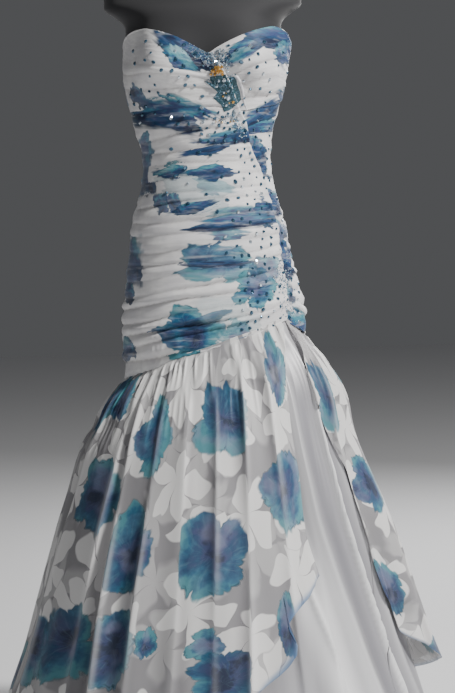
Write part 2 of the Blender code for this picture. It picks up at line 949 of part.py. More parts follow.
def applique():
    # Large stones of the centre motif, raised from one backing along the gathers.
    mesh = bmesh.new()
    bmesh.ops.create_grid(mesh, x_segments=patch_columns, y_segments=patch_rows, size=0.5)
    made = bmesh.ops.extrude_face_region(mesh, geom=mesh.faces[:])
    for vertex in made["geom"]:
        if isinstance(vertex, bmesh.types.BMVert):
            vertex.co.z = 1
    for vertex in mesh.verts:
        down = 0.5 - vertex.co.y
        height = between(1.283, 1.176, down)
        half = reading(patch_widths, down)
        middle = reading(gather_line, height) - reading(patch_shift, down)
        angle = middle + half * 2 * vertex.co.x
        stone = 0.0
        for stone_down, stone_across, tall in patch_stones:
            apart = math.hypot((down - stone_down) * 7, (2 * vertex.co.x - stone_across) * 1.4)
            stone = max(stone, tall * max(0.0, 1 - apart * apart))
        out = patch_seat + (0.0014 + stone if vertex.co.z > 0.5 else 0)
        vertex.co = bodice_point(angle, height, out)
    bmesh.ops.recalc_face_normals(mesh, faces=mesh.faces[:])
    return keep("applique_centre", mesh, crystal)


# The motif: share down, half width in degrees, then how far its middle lies left.
patch_columns = 7
patch_rows = 18
patch_seat = 0.0030
patch_widths = (
    (0.0, 2.4),
    (0.15, 4.2),
    (0.30, 5.2),
    (0.45, 6.4),
    (0.60, 7.2),
    (0.75, 6.2),
    (0.90, 3.2),
    (1.0, 1.6),
)
patch_shift = (
    (0.0, 1.5),
    (0.30, 3.0),
    (0.60, 2.0),
    (1.0, 0.5),
)
patch_stones = (
    (0.07, 0.0, 0.0022),
    (0.20, -0.5, 0.0020),
    (0.24, 0.45, 0.0030),
    (0.38, 0.0, 0.0026),
    (0.50, -0.6, 0.0022),
    (0.53, 0.5, 0.0022),
    (0.66, 0.0, 0.0032),
    (0.78, -0.4, 0.0024),
    (0.84, 0.5, 0.0020),
    (0.95, 0.0, 0.0020),
)
applique()
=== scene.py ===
import math

import bmesh
import bpy
import numpy as np
from mathutils import Matrix, Vector
from mathutils.bvhtree import BVHTree


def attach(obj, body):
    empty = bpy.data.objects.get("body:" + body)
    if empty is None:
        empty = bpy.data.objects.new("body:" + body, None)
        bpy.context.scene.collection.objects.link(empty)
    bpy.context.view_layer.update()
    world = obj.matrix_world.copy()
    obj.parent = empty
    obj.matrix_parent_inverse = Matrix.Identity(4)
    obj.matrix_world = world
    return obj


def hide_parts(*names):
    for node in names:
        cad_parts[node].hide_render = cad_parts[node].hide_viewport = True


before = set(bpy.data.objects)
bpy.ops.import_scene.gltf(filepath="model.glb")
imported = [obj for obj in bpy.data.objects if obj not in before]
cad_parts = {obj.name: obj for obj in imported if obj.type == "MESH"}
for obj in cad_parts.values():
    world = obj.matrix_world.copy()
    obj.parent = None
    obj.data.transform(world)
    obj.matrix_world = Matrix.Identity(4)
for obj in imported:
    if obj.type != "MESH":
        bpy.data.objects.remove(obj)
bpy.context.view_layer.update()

# A strapless mermaid gown on a limbless dress form. Front faces -Y, the viewer's right is +X.
# Angles go round the body in degrees: 0 front centre, 90 viewer's right, 180 back.

gown = "gown_on_form"
cloths = {}

# Camera, set for a frame of 455 by 693
viewSet = {
    "stand": (0.0265, -3.0, 0.95),
    "aim": (0.0265, 0.0, 0.767),
    "roll": 1.7,
    "frameHigh": 1.2474,
    "frameWide": 455,
    "frameTall": 693,
}


def addObject(name, data):
    made = bpy.data.objects.new(name, data)
    bpy.context.scene.collection.objects.link(made)
    return made


stand, aim = np.array(viewSet["stand"]), np.array(viewSet["aim"])
reach = float(np.linalg.norm(aim - stand))
ahead = (aim - stand) / reach
level = np.cross(ahead, (0, 0, 1))
level = level / np.linalg.norm(level)
upward = np.cross(level, ahead)
rollAngle = math.radians(viewSet["roll"])
camRight = level * math.cos(rollAngle) - upward * math.sin(rollAngle)
camUp = upward * math.cos(rollAngle) + level * math.sin(rollAngle)
cameraData = bpy.data.cameras.new("camera")
cameraData.sensor_width = 36
cameraData.lens = 36 * reach / viewSet["frameHigh"]
cameraObject = addObject("camera", cameraData)
cameraAxes = np.stack([camRight, camUp, -ahead, stand], 1)
cameraObject.matrix_world = Matrix([*cameraAxes.tolist(), (0, 0, 0, 1)])
bpy.context.scene.camera = cameraObject
pixelsPerMetre = viewSet["frameTall"] / viewSet["frameHigh"] * reach


def seenAt(points):  # where points fall in the frame, in pixels from its top left
    away = np.asarray(points) - stand
    depth = away @ ahead
    right = away @ camRight / depth * pixelsPerMetre + viewSet["frameWide"] / 2
    down = -(away @ camUp) / depth * pixelsPerMetre + viewSet["frameTall"] / 2
    return right, down


def sightLine(right, down):  # the ray through a pixel
    across = (right - viewSet["frameWide"] / 2) / pixelsPerMetre
    below = (down - viewSet["frameTall"] / 2) / pixelsPerMetre
    ray = ahead + camRight * across - camUp * below
    return Vector(stand), Vector(ray / np.linalg.norm(ray))


print("stage: camera")

# The gown's form. Heights and radii in metres: left, right, front, back.
bodySections = (
    (0.7, 0.156, 0.163, 0.105, 0.125),
    (0.74, 0.1535, 0.1625, 0.105, 0.126),
    (0.78, 0.1555, 0.16, 0.106, 0.127),
    (0.82, 0.156, 0.163, 0.107, 0.128),
    (0.86, 0.1515, 0.157, 0.107, 0.127),
    (0.9, 0.1475, 0.148, 0.105, 0.122),
    (0.94, 0.1425, 0.14, 0.102, 0.115),
    (0.98, 0.138, 0.134, 0.098, 0.105),
    (1.02, 0.1275, 0.1255, 0.093, 0.095),
    (1.06, 0.117, 0.116, 0.089, 0.087),
    (1.1, 0.113, 0.1115, 0.087, 0.085),
    (1.14, 0.119, 0.116, 0.089, 0.087),
    (1.18, 0.13, 0.126, 0.093, 0.091),
    (1.22, 0.14, 0.139, 0.096, 0.095),
    (1.26, 0.145, 0.148, 0.096, 0.096),
    (1.3, 0.143, 0.155, 0.094, 0.092),
    (1.34, 0.143, 0.158, 0.092, 0.088),
)
neckline = (
    (-180, 1.246), (-140, 1.26), (-110, 1.284), (-90, 1.303), (-70, 1.32), (-56, 1.326),
    (-44, 1.327), (-34, 1.323), (-27, 1.318), (-19, 1.31), (-12, 1.3), (-5, 1.289),
    (3, 1.279), (8, 1.287), (14, 1.296), (20, 1.304), (27, 1.312), (34, 1.318),
    (42, 1.323), (50, 1.326), (59, 1.324), (70, 1.317), (80, 1.307), (90, 1.295),
    (110, 1.278), (140, 1.26), (180, 1.246),
)
droppedWaist = (
    (-180, 0.745), (-140, 0.728), (-90, 0.714), (-70, 0.72), (-46, 0.733), (-26, 0.752),
    (-9, 0.763), (0, 0.77), (17, 0.786), (32, 0.797), (44, 0.809), (51, 0.813),
    (58, 0.806), (75, 0.792), (90, 0.785), (140, 0.762), (180, 0.745),
)
underBust = ((26, 1.18), (60, 1.19), (90, 1.203))
gatherLine = (
    (0.8, 51), (0.85, 54), (0.89, 55.5), (0.93, 57.5), (0.97, 58.5),
    (1.01, 58), (1.05, 56), (1.082, 51.5), (1.117, 40), (1.16, 33),
    (1.18, 26.5), (1.213, 18.5), (1.248, 10.7), (1.279, 3),
)
# Degrees round the body where a seam or a free edge meets the neckline, the cup's foot or the hem
seams = {"side": 90, "vee": 3, "underCup": 26, "hip": 51, "slitLeft": 36, "slitRight": 57}
bodice = {
    "seamGap": 0.0003,
    "overlap": 0.004,
    "lap": 0.0028,
    "fullestBust": 1.262,
    "bustAngle": 30.0,
    "bustSpread": 16.0,
    "bustLift": 0.036,
    "bustAbove": 0.045,
    "bustBelow": 0.03,
    "gatherPull": 1.3,
    "clothThick": 0.0008,
    "clothRadius": 0.14,
    "zipWidth": 0.0034,
    "zipEnd": 0.858,
}


def mix(low, high, share):
    return low + (high - low) * share


def bell(apart, spread):
    return np.exp(-0.5 * (apart / spread) ** 2)


def easeIn(value, start, end):  # 0 before start, 1 after end, smooth between
    share = np.clip((value - start) / (end - start), 0, 1)
    return share * share * (3 - 2 * share)


def reading(table, at, column=1):  # a smooth curve through the rows that never overshoots
    rows = np.array(table, float)
    places, values = rows[:, 0], rows[:, column]
    at = np.clip(np.asarray(at, float), places[0], places[-1])
    slopes = np.diff(values) / np.diff(places)
    tangents = np.empty(len(places))
    tangents[0], tangents[-1] = slopes[0], slopes[-1]
    before, after = slopes[:-1], slopes[1:]
    total = np.where(before + after == 0, 1, before + after)
    tangents[1:-1] = np.where(before * after > 0, 2 * before * after / total, 0)
    high = np.clip(np.searchsorted(places, at), 1, len(places) - 1)
    span = places[high] - places[high - 1]
    share = (at - places[high - 1]) / span
    rest = 1 - share
    return (
        values[high - 1] * (1 + 2 * share) * rest**2
        + values[high] * (3 - 2 * share) * share**2
        + span * share * rest * (tangents[high - 1] * rest - tangents[high] * share)
    )


def readings(table, at):  # every column of a table, read at one place
    return [reading(table, at, column) for column in range(1, len(table[0]))]


def lattice(columns, rows, seed):  # one repeatable random number for each lattice corner
    mixed = np.sin(columns * 127.1 + rows * 311.7 + seed * 74.7) * 43758.5453
    return mixed - np.floor(mixed)


def softNoise(across, down, seed):  # smooth noise from -1 to 1
    column, row = np.floor(across), np.floor(down)
    x, y = across - column, down - row
    x, y = x * x * (3 - 2 * x), y * y * (3 - 2 * y)
    top = mix(lattice(column, row, seed), lattice(column + 1, row, seed), x)
    foot = mix(lattice(column, row + 1, seed), lattice(column + 1, row + 1, seed), x)
    return 2 * mix(top, foot, y) - 1


def bodySection(angle, height, even=False):
    # A point of the form's section and the way out of it. Even, its sides match.
    turn = np.radians(angle)
    side, front = np.sin(turn), np.cos(turn)
    left, right, before, behind = readings(bodySections, height)
    wide = np.minimum(left, right) if even else np.where(side < 0, left, right)
    deep = np.where(front > 0, before, behind)
    outward = np.stack([side / wide, -front / deep, 0 * side], -1)
    outward /= np.linalg.norm(outward, axis=-1, keepdims=True)
    return np.stack([wide * side, -deep * front, height + 0 * side], -1), outward


def neckAt(angle):
    return reading(neckline, angle)


def waistAt(angle):
    return reading(droppedWaist, angle)


def bust(angle, height):
    rise = np.where(height > bodice["fullestBust"], bodice["bustAbove"], bodice["bustBelow"])
    around = bell(angle - bodice["bustAngle"], bodice["bustSpread"])
    around = around + bell(angle + bodice["bustAngle"], bodice["bustSpread"])
    return bodice["bustLift"] * bell(height - bodice["fullestBust"], rise) * around


def bodicePoint(angle, height, out):
    angle, height, out = np.broadcast_arrays(*(np.asarray(v, float) for v in (angle, height, out)))
    point, outward = bodySection(angle, height)
    return point + outward * (out + bust(angle, height))[..., None]


def gapAngle(height, gap):
    left, right, _, _ = readings(bodySections, height)
    return np.degrees(gap / np.minimum(left, right))


# Nodes: the helpers below add to the tree of the open material
drawing = {"tree": None}
middleGrey = (0.5, 0.5, 0.5)


def wire(target, inputs):
    for key, value in inputs.items():
        if isinstance(value, bpy.types.NodeSocket):
            drawing["tree"].links.new(value, target.inputs[key])
        else:
            target.inputs[key].default_value = value


def addNode(kind, inputs, output=0, **settings):
    made = drawing["tree"].nodes.new("ShaderNode" + kind)
    for key, value in settings.items():
        setattr(made, key, value)
    wire(made, inputs)
    return made.outputs if output is None else made.outputs[output]


def calc(operation, *values):
    return addNode("Math", dict(enumerate(values)), operation=operation)


def times(first, second):
    return calc("MULTIPLY", first, second)


def timesPlus(first, second, third):
    return calc("MULTIPLY_ADD", first, second, third)


def vectorCalc(operation, *values):
    keys = (0, "Scale") if operation == "SCALE" else (0, 1)
    output = "Value" if operation == "LENGTH" else "Vector"
    return addNode("VectorMath", dict(zip(keys, values)), output, operation=operation)


def flatten(vector):
    return vectorCalc("MULTIPLY", vector, (1, 1, 0))


def ease(value, start, end, low=0.0, high=1.0):
    inputs = {"Value": value, "From Min": start, "From Max": end, "To Min": low, "To Max": high}
    return addNode("MapRange", inputs, "Result", interpolation_type="SMOOTHSTEP")


def opaque(colour):
    return colour if isinstance(colour, bpy.types.NodeSocket) else (*colour, 1)


def mixColour(share, first, second, blend="MIX"):
    inputs = {"Factor": share, "A": opaque(first), "B": opaque(second)}
    return addNode("Mix", inputs, "Result", data_type="RGBA", blend_type=blend)


def noiseOf(vector, scale, detail=2.0, roughness=0.5, output="Fac"):
    inputs = {"Vector": vector, "Scale": scale, "Detail": detail, "Roughness": roughness}
    return addNode("TexNoise", inputs, output)


def jitter(vector, scale, detail, roughness):
    return vectorCalc("SUBTRACT", noiseOf(vector, scale, detail, roughness, "Color"), middleGrey)


def woven(cloth, across, down, detail, roughness=0.5):  # noise drawn out along the threads
    return noiseOf(vectorCalc("MULTIPLY", cloth, (across, down, 1)), 1.0, detail, roughness)


def rampOf(value, stops):
    made = addNode("ValToRGB", {0: value}, "Color")
    line = made.node.color_ramp
    while len(line.elements) < len(stops):
        line.elements.new(0.5)
    for element, (place, ink) in zip(line.elements, stops):
        element.position = place
        element.color = (*inks[ink], 1)
    return made


def attributeOf(name, output="Fac"):
    return addNode("Attribute", {}, output, attribute_name=name)


def channelOf(prefix, channel):  # the local point, tint and strength that a cloth carries
    local = attributeOf(prefix + channel, "Vector")
    return local, attributeOf(prefix + "Tint" + channel), attributeOf(prefix + "Keep" + channel)


def turnOf(vector):
    ends = addNode("SeparateXYZ", {0: vector}, None)
    return ends, calc("ARCTAN2", ends["Y"], ends["X"])


def rimOf(vector, seed):  # a place on a ring, the same all the way out, for noise along a rim
    return vectorCalc("ADD", vectorCalc("NORMALIZE", vector), addNode("CombineXYZ", {2: seed}))


def lobesOf(turn):
    return calc("ABSOLUTE", calc("SINE", turn))


def bumpOf(height, strength, distance):
    return addNode("Bump", {"Strength": strength, "Distance": distance, "Height": height}, "Normal")


def newMaterial(name):
    made = bpy.data.materials.new(name)
    made.use_nodes = True
    drawing["tree"] = made.node_tree
    return made, made.node_tree.nodes["Principled BSDF"]


# Inks of the watercolour print
inks = {
    "heart": (0.006, 0.016, 0.055),
    "violet": (0.034, 0.052, 0.15),
    "deep": (0.008, 0.055, 0.14),
    "sky": (0.022, 0.125, 0.225),
    "teal": (0.07, 0.26, 0.31),
    "rim": (0.008, 0.07, 0.11),
    "wash": (0.24, 0.42, 0.47),
    "lavender": (0.27, 0.28, 0.42),
}


def paintBloom(channel, ragged, serration):
    # One watercolour bloom: lobed, frilled in patches, darkest at its heart
    local, tint, keep = channelOf("bloom", channel)
    kind = addNode("SeparateXYZ", {0: local}, "Z")
    flat = flatten(local)
    shaken = flatten(jitter(local, 1.1, 3, 0.55))
    moved = vectorCalc("ADD", flat, vectorCalc("SCALE", shaken, ragged))
    rim = rimOf(moved, times(kind, 3.0))
    ends, around = turnOf(moved)
    lobes = lobesOf(timesPlus(around, 2.0, kind))
    edge = timesPlus(calc("POWER", lobes, 0.5), 0.26, 0.22)
    edge = timesPlus(noiseOf(rim, 1.0, 2), 0.74, edge)
    frill = lobesOf(timesPlus(around, 15.0, times(kind, 2.0)))
    patchy = ease(noiseOf(rim, 1.9, 1), 0.4, 0.6)
    edge = timesPlus(times(frill, patchy), serration, edge)
    edge = timesPlus(noiseOf(rim, 10.0, 2), 0.09, edge)
    share = calc("DIVIDE", vectorCalc("LENGTH", moved), edge)
    mask = times(ease(share, 1.03, 0.94), keep)
    clouds = calc("SUBTRACT", noiseOf(local, 1.5, 4, 0.62), 0.5)
    tone = calc("ADD", timesPlus(clouds, 2.1, share), tint)
    leaning = times(calc("SINE", kind), ends["X"])
    leaning = timesPlus(calc("COSINE", kind), ends["Y"], leaning)
    tone = timesPlus(leaning, 0.38, tone)
    colour = rampOf(tone, ((0.06, "heart"), (0.26, "violet"), (0.46, "deep"), (0.72, "sky"), (1.0, "teal")))
    spokes = vectorCalc("ADD", vectorCalc("SCALE", rim, 3.2), flat)
    veins = ease(noiseOf(spokes, 1.6, 3, 0.65), 0.5, 0.68)
    splits = times(ease(lobes, 0.25, 0.02), ease(share, 0.2, 0.55))
    pools = ease(noiseOf(vectorCalc("ADD", local, (3.1, 5.7, 0)), 1.2, 2), 0.54, 0.66)
    ringed = addNode("CombineXYZ", {0: times(around, 5.0), 1: timesPlus(share, 8.0, kind)})
    spots = addNode("TexVoronoi", {"Vector": ringed, "Scale": 1.0}, "Distance", voronoi_dimensions="2D")
    dots = times(ease(spots, 0.34, 0.2), ease(share, 0.8, 0.9))
    outline = times(ease(share, 0.88, 0.99), patchy)
    for layer, strength, ink in (
        (veins, 0.13, "wash"), (splits, 0.5, "deep"), (pools, 0.38, "lavender"),
        (dots, times(patchy, 0.85), "rim"), (outline, 0.6, "rim"),
    ):
        colour = mixColour(times(layer, strength), colour, inks[ink])
    return mask, colour


def paintBrush(channel):
    # One broad stroke of wet colour: dark along one side, thin and streaked at its ends
    local, tint, keep = channelOf("brush", channel)
    shaken = vectorCalc("MULTIPLY", jitter(local, 1.3, 2, 0.5), (1.5, 1.5, 0))
    moved = vectorCalc("ADD", flatten(local), shaken)
    streaks = noiseOf(vectorCalc("MULTIPLY", local, (1.0, 2.4, 1)), 1.1, 4, 0.6)
    share = calc("DIVIDE", vectorCalc("LENGTH", moved), timesPlus(streaks, 0.8, 0.52))
    soft = timesPlus(ease(noiseOf(local, 0.9, 1), 0.45, 0.6), 0.22, 0.03)
    mask = ease(share, calc("ADD", 1.0, soft), calc("SUBTRACT", 1.0, soft))
    clouds = calc("SUBTRACT", noiseOf(local, 1.4, 3, 0.6), 0.5)
    side = timesPlus(addNode("SeparateXYZ", {0: local}, "Y"), -0.3, 0.42)
    tone = calc("ADD", timesPlus(clouds, 1.7, side), tint)
    colour = rampOf(tone, (
        (0.12, "heart"), (0.32, "deep"), (0.46, "violet"), (0.6, "sky"), (0.8, "teal"), (1, "wash"),
    ))
    colour = mixColour(times(ease(streaks, 0.52, 0.7), 0.22), colour, inks["lavender"])
    colour = mixColour(times(ease(share, 0.8, 0.97), 0.45), colour, inks["rim"])
    return times(mask, keep), colour


def makeRuched():
    made, shader = newMaterial("ruchedOrganza")
    cloth = attributeOf("cloth", "Vector")
    whites = ease(noiseOf(cloth, 26, 3), 0.35, 0.7)
    colour = mixColour(whites, (0.68, 0.67, 0.68), (0.8, 0.79, 0.78))
    worn = ease(woven(cloth, 16, 110, 3, 0.6), 0.25, 0.5, 0.62, 1.0)
    blooms = [paintBloom(channel, 0.95, 0.05) for channel in "AB"]
    for mask, ink in blooms + [paintBrush(channel) for channel in "ABCD"]:
        colour = mixColour(times(mask, worn), colour, ink)
    # Painted shade: the colour darkens to a warm grey in the creases between the ruched folds
    paintedShadeColour = mixColour(1.0, colour, (0.46, 0.43, 0.42), "MULTIPLY")
    wire(shader, {
        "Base Color": mixColour(times(attributeOf("crease"), 0.8), colour, paintedShadeColour),
        "Roughness": 0.55,
        "Sheen Weight": 0.25,
        "Sheen Roughness": 0.4,
        "Specular IOR Level": 0.35,
        "Normal": bumpOf(woven(cloth, 60, 420, 3, 0.55), 0.4, 0.001),
    })
    return made


# White leaves and petals burnt into the sheer ground
burnout = {
    "cell": 0.148,
    "ground": (0.4, 0.39, 0.405),
    "white": (0.76, 0.75, 0.74),
    "groundCover": 0.52,
    "whiteCover": 0.93,
    "hem": (0.1, 0.21, 0.4),
    "shade": (0.5, 0.49, 0.51),
    "shine": (0.9, 0.9, 0.9),
}


def petalIslands(cloth, cell, length, soft, offset):
    # Loose blossoms, one to a cell: five broad petals of unequal length, a thin line between them
    spot = vectorCalc("ADD", vectorCalc("SCALE", cloth, 1 / cell), offset)
    spot = vectorCalc("ADD", spot, vectorCalc("SCALE", jitter(spot, 1.3, 2, 0.5), 0.55))
    nearest, border = (
        addNode(
            "TexVoronoi", {"Scale": 1.0, "Randomness": 0.75, "Vector": spot}, None,
            voronoi_dimensions="2D", feature=feature,
        )
        for feature in ("F1", "DISTANCE_TO_EDGE")
    )
    local = flatten(vectorCalc("SUBTRACT", spot, nearest["Position"]))
    _, around = turnOf(local)
    dice = addNode("SeparateColor", {0: nearest["Color"]}, None)
    lobes = calc("POWER", lobesOf(timesPlus(dice[0], 6.28, times(around, 2.5))), 0.42)
    reach = timesPlus(noiseOf(rimOf(local, times(dice[1], 40.0)), 1.1, 1), 1.0, length)
    inside = calc("SUBTRACT", timesPlus(lobes, reach, -0.01), vectorCalc("LENGTH", local))
    apart = calc("ADD", border["Distance"], 0.004)
    return ease(calc("MINIMUM", inside, apart), -soft, soft)


def makeBurnout():
    made, shader = newMaterial("burnoutOrganza")
    cloth = attributeOf("cloth", "Vector")
    sharp = petalIslands(cloth, burnout["cell"], 0.05, 0.02, (0.0, 0.0, 0.0))
    behind = petalIslands(cloth, 0.85 * burnout["cell"], 0.06, 0.09, (3.7, 1.9, 0.0))
    solid = calc("MAXIMUM", sharp, times(behind, 0.4))
    colour = mixColour(solid, burnout["ground"], burnout["white"])
    cover = timesPlus(solid, burnout["whiteCover"] - burnout["groundCover"], burnout["groundCover"])
    for channel in "ABC":
        mask, ink = paintBloom(channel, 0.6, 0.07)
        colour = mixColour(times(mask, 0.96), colour, ink)
        cover = calc("MAXIMUM", cover, times(mask, 0.9))
    hem = attributeOf("hem")
    colour = mixColour(times(hem, 0.9), colour, burnout["hem"])
    cover = calc("MAXIMUM", cover, times(hem, 0.85))
    # Painted shade under each pleat's steep side; painted highlight along its crest, which also makes the
    # cloth more opaque there
    shade = times(attributeOf("crease"), 0.72)
    colour = mixColour(shade, colour, mixColour(1.0, colour, burnout["shade"], "MULTIPLY"))
    shine = times(attributeOf("shine"), 0.32)
    cover = calc("MAXIMUM", cover, timesPlus(shine, 0.5, cover))
    wire(shader, {
        "Base Color": mixColour(shine, colour, burnout["shine"]),
        "Alpha": cover,
        "Roughness": 0.5,
        "Sheen Weight": 0.3,
        "Sheen Roughness": 0.35,
        "Specular IOR Level": 0.4,
        "Normal": bumpOf(woven(cloth, 260, 90, 2), 0.18, 0.0006),
    })
    return made


def makeSatin():
    made, shader = newMaterial("whiteSatin")
    cloth = attributeOf("cloth", "Vector")
    # Grey base tones stand in for the white satin in shade: painted shade
    colour = mixColour(noiseOf(cloth, 3.5, 2), (0.37, 0.365, 0.385), (0.46, 0.455, 0.47))
    # painted vertical sheen: light and dark streaks down the satin
    streaks = ease(woven(cloth, 34, 1.4, 3, 0.6), 0.44, 0.66, 0.0, 0.45)
    # painted shade in the hollows beside the ridge, painted highlight along the crests
    for share, tone in (
        (streaks, (0.36, 0.355, 0.38)),
        (times(attributeOf("crease"), 0.9), (0.24, 0.235, 0.26)),
        (times(attributeOf("shine"), 0.85), (0.93, 0.93, 0.94)),
    ):
        colour = mixColour(share, colour, tone)
    wire(shader, {
        "Base Color": colour,
        "Roughness": 0.36,
        "Specular IOR Level": 0.55,
        "Sheen Weight": 0.15,
        "Sheen Roughness": 0.3,
        "Anisotropic": 0.4,
        "Normal": bumpOf(woven(cloth, 1400, 60, 2), 0.06, 0.0004),
    })
    return made


def makeStone(name, dark, light, metallic, roughness):
    made, shader = newMaterial(name)
    grain = noiseOf(addNode("TexCoord", {}, "Object"), 420, 1)
    wire(shader, {
        "Base Color": mixColour(grain, dark, light),
        "Metallic": metallic,
        "Roughness": roughness,
        "Coat Weight": 1.0,
        "Coat Roughness": 0.03,
    })
    return made


def makePlain(name, dark, light, scale, roughness, metallic=0.0, bump=0.1, sheen=0.0):
    made, shader = newMaterial(name)
    grain = noiseOf(addNode("TexCoord", {}, "Object"), scale, 3)
    wire(shader, {
        "Base Color": mixColour(grain, dark, light),
        "Roughness": ease(grain, 0.2, 0.8, roughness - 0.05, roughness + 0.07),
        "Metallic": metallic,
        "Sheen Weight": sheen,
        "Normal": bumpOf(grain, bump, 0.0004),
    })
    return made


ruched = makeRuched()
organza = makeBurnout()
satin = makeSatin()
jersey = makePlain("blackJersey", (0.01, 0.01, 0.012), (0.02, 0.02, 0.023), 900, 0.78, sheen=0.25)
lacquer = makePlain("blackLacquer", (0.012, 0.012, 0.013), (0.02, 0.02, 0.021), 60, 0.34)
nickel = makePlain("nickel", (0.55, 0.55, 0.57), (0.68, 0.68, 0.7), 700, 0.26, metallic=1.0)
tapeCloth = makePlain("zipTape", (0.7, 0.71, 0.74), (0.8, 0.81, 0.84), 1500, 0.6, bump=0.3)
darkStone = makeStone("darkStone", (0.015, 0.055, 0.11), (0.06, 0.17, 0.26), 0.55, 0.1)
clearStone = makeStone("clearStone", (0.5, 0.62, 0.72), (0.85, 0.9, 0.94), 0.75, 0.06)
blueStone = makeStone("blueStone", (0.07, 0.2, 0.34), (0.3, 0.52, 0.66), 0.6, 0.08)
amberStone = makeStone("amberStone", (0.5, 0.22, 0.03), (0.85, 0.5, 0.12), 0.6, 0.1)
print("stage: materials")


def keepPiece(name, data, material, replaced=None):
    data.name = name
    data.materials.append(material)
    made = addObject(name, data)
    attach(made, gown)
    if replaced:
        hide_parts(replaced)
    return made


def meshOf(name, shape):
    data = bpy.data.meshes.new(name)
    shape.to_mesh(data)
    shape.free()
    return data


def cornersOf(data):
    corners = np.empty(len(data.vertices) * 3, np.float32)
    data.vertices.foreach_get("co", corners)
    return corners.reshape(-1, 3).astype(float)


def setCorners(data, points):
    data.vertices.foreach_set("co", points.astype(np.float32).ravel())
    for face in data.polygons:
        face.use_smooth = True


def setValues(data, given):  # one value or vector for each corner, under each name
    for key, values in given.items():
        several = values.ndim == 2
        layer = data.attributes.new(key, "FLOAT_VECTOR" if several else "FLOAT", "POINT")
        layer.data.foreach_set("vector" if several else "value", values.astype(np.float32).ravel())


def clothPiece(name, columns, rows, place, material, thick, replaced):
    # One layer of cloth from a grid: place gives points, cloth places and other values
    grid = bmesh.new()
    bmesh.ops.create_grid(grid, x_segments=columns, y_segments=rows, size=0.5)
    data = meshOf(name, grid)
    corners = cornersOf(data)
    made = place(np.clip(corners[:, 0] + 0.5, 0, 1), np.clip(0.5 - corners[:, 1], 0, 1))
    setCorners(data, made.pop("points"))
    setValues(data, made)
    turned = bmesh.new()
    turned.from_mesh(data)
    turned.normal_update()
    middle = turned.faces[:][len(turned.faces) // 2]
    centre = middle.calc_center_median()
    if middle.normal.dot(Vector((centre.x, centre.y, 0))) < 0:
        bmesh.ops.reverse_faces(turned, faces=turned.faces[:])
    turned.to_mesh(data)
    turned.free()
    piece = keepPiece(name, data, material, replaced)
    wall = piece.modifiers.new("wall", "SOLIDIFY")
    wall.thickness = thick
    wall.offset = -1
    return piece


def layCloth(pieces, material, thick):
    for name, columns, rows, place, node in pieces:
        cloths[name] = clothPiece(name, columns, rows, place, material, thick, node)


def printChannels(x, y, motifs, prefix, names):
    # Motifs that lie near each other take different channels. A motif is its centre, half
    # width, half height, turn, tint from navy to teal, and strength.
    channels = {name: [] for name in names}

    def clearance(name, spot):
        near = [
            math.hypot(spot[0] - b[0], spot[1] - b[1]) / (max(spot[2:4]) + max(b[2:4]))
            for _, b in channels[name]
        ]
        return min(near, default=9.0)

    for index, spot in enumerate(motifs):
        roomiest = max(names, key=lambda name: clearance(name, spot))
        channels[roomiest].append((index, spot))
    made = {}
    for channel, chosen in channels.items():
        best, second = np.full(len(x), 9.0), np.full(len(x), 9.0)
        local = np.zeros((len(x), 3))
        tint, strength = np.zeros(len(x)), np.ones(len(x))
        for index, (cx, cy, wide, tall, turn, tone, strong) in chosen:
            spin = math.radians(turn)
            dx = (x - cx) * math.cos(spin) + (y - cy) * math.sin(spin)
            dy = (y - cy) * math.cos(spin) - (x - cx) * math.sin(spin)
            apart = np.hypot(dx / wide, dy / tall)
            near = apart < best
            second = np.where(near, best, np.minimum(second, apart))
            best[near] = apart[near]
            local[near, 0] = (dx / wide)[near]
            local[near, 1] = (dy / tall)[near]
            local[near, 2] = (index * 1.37) % 9
            tint[near] = tone
            strength[near] = strong
        made[prefix + channel] = local
        made[prefix + "Tint" + channel] = tint
        keep = np.clip((1.42 - best) / 0.16, 0, 1) * np.clip((second - best - 0.06) / 0.12, 0, 1)
        made[prefix + "Keep" + channel] = strength * keep
    return made


# The ruching: share down the panel, height, centre and spread of every ridge
drapeFolds = (
    (0.022, 0.001, 0.95, 0.45), (0.06, 0.0014, 0.85, 0.4), (0.098, 0.0016, 0.8, 0.38),
    (0.138, 0.0016, 0.85, 0.36), (0.178, 0.002, 0.75, 0.45), (0.222, 0.0022, 0.45, 0.5),
    (0.262, 0.0026, 0.35, 0.55), (0.305, 0.0016, 0.8, 0.45), (0.345, 0.002, 0.7, 0.5),
    (0.388, 0.0014, 0.3, 0.5), (0.43, 0.002, 0.75, 0.5), (0.47, 0.0016, 0.55, 0.45),
    (0.512, 0.0024, 0.65, 0.6), (0.556, 0.0018, 0.35, 0.5), (0.6, 0.0028, 0.7, 0.55),
    (0.642, 0.0024, 0.3, 0.55), (0.686, 0.0034, 0.6, 0.6), (0.728, 0.003, 0.45, 0.6),
    (0.772, 0.0038, 0.55, 0.6), (0.815, 0.0032, 0.25, 0.5), (0.858, 0.0042, 0.5, 0.6),
    (0.898, 0.004, 0.2, 0.6), (0.934, 0.0044, 0.1, 0.6), (0.972, 0.0036, 0.1, 0.6),
)
cupFolds = (
    (0.1, 0.0012, 0.1, 0.5), (0.3, 0.0016, 0.2, 0.5), (0.52, 0.0018, 0.15, 0.6),
    (0.74, 0.0022, 0.3, 0.7), (0.92, 0.0016, 0.6, 0.6),
)
sideFolds = (
    (0.06, 0.0012, 0.3, 0.6), (0.15, 0.0016, 0.3, 0.6), (0.25, 0.0014, 0.5, 0.6),
    (0.35, 0.0018, 0.3, 0.6), (0.45, 0.0016, 0.5, 0.6), (0.54, 0.0022, 0.4, 0.6),
    (0.62, 0.0026, 0.9, 0.6), (0.67, 0.003, 1, 0.7), (0.73, 0.0036, 1, 0.7),
    (0.78, 0.0032, 0.9, 0.7), (0.84, 0.0044, 1, 0.7), (0.9, 0.004, 1, 0.7), (0.96, 0.003, 1, 0.7),
)
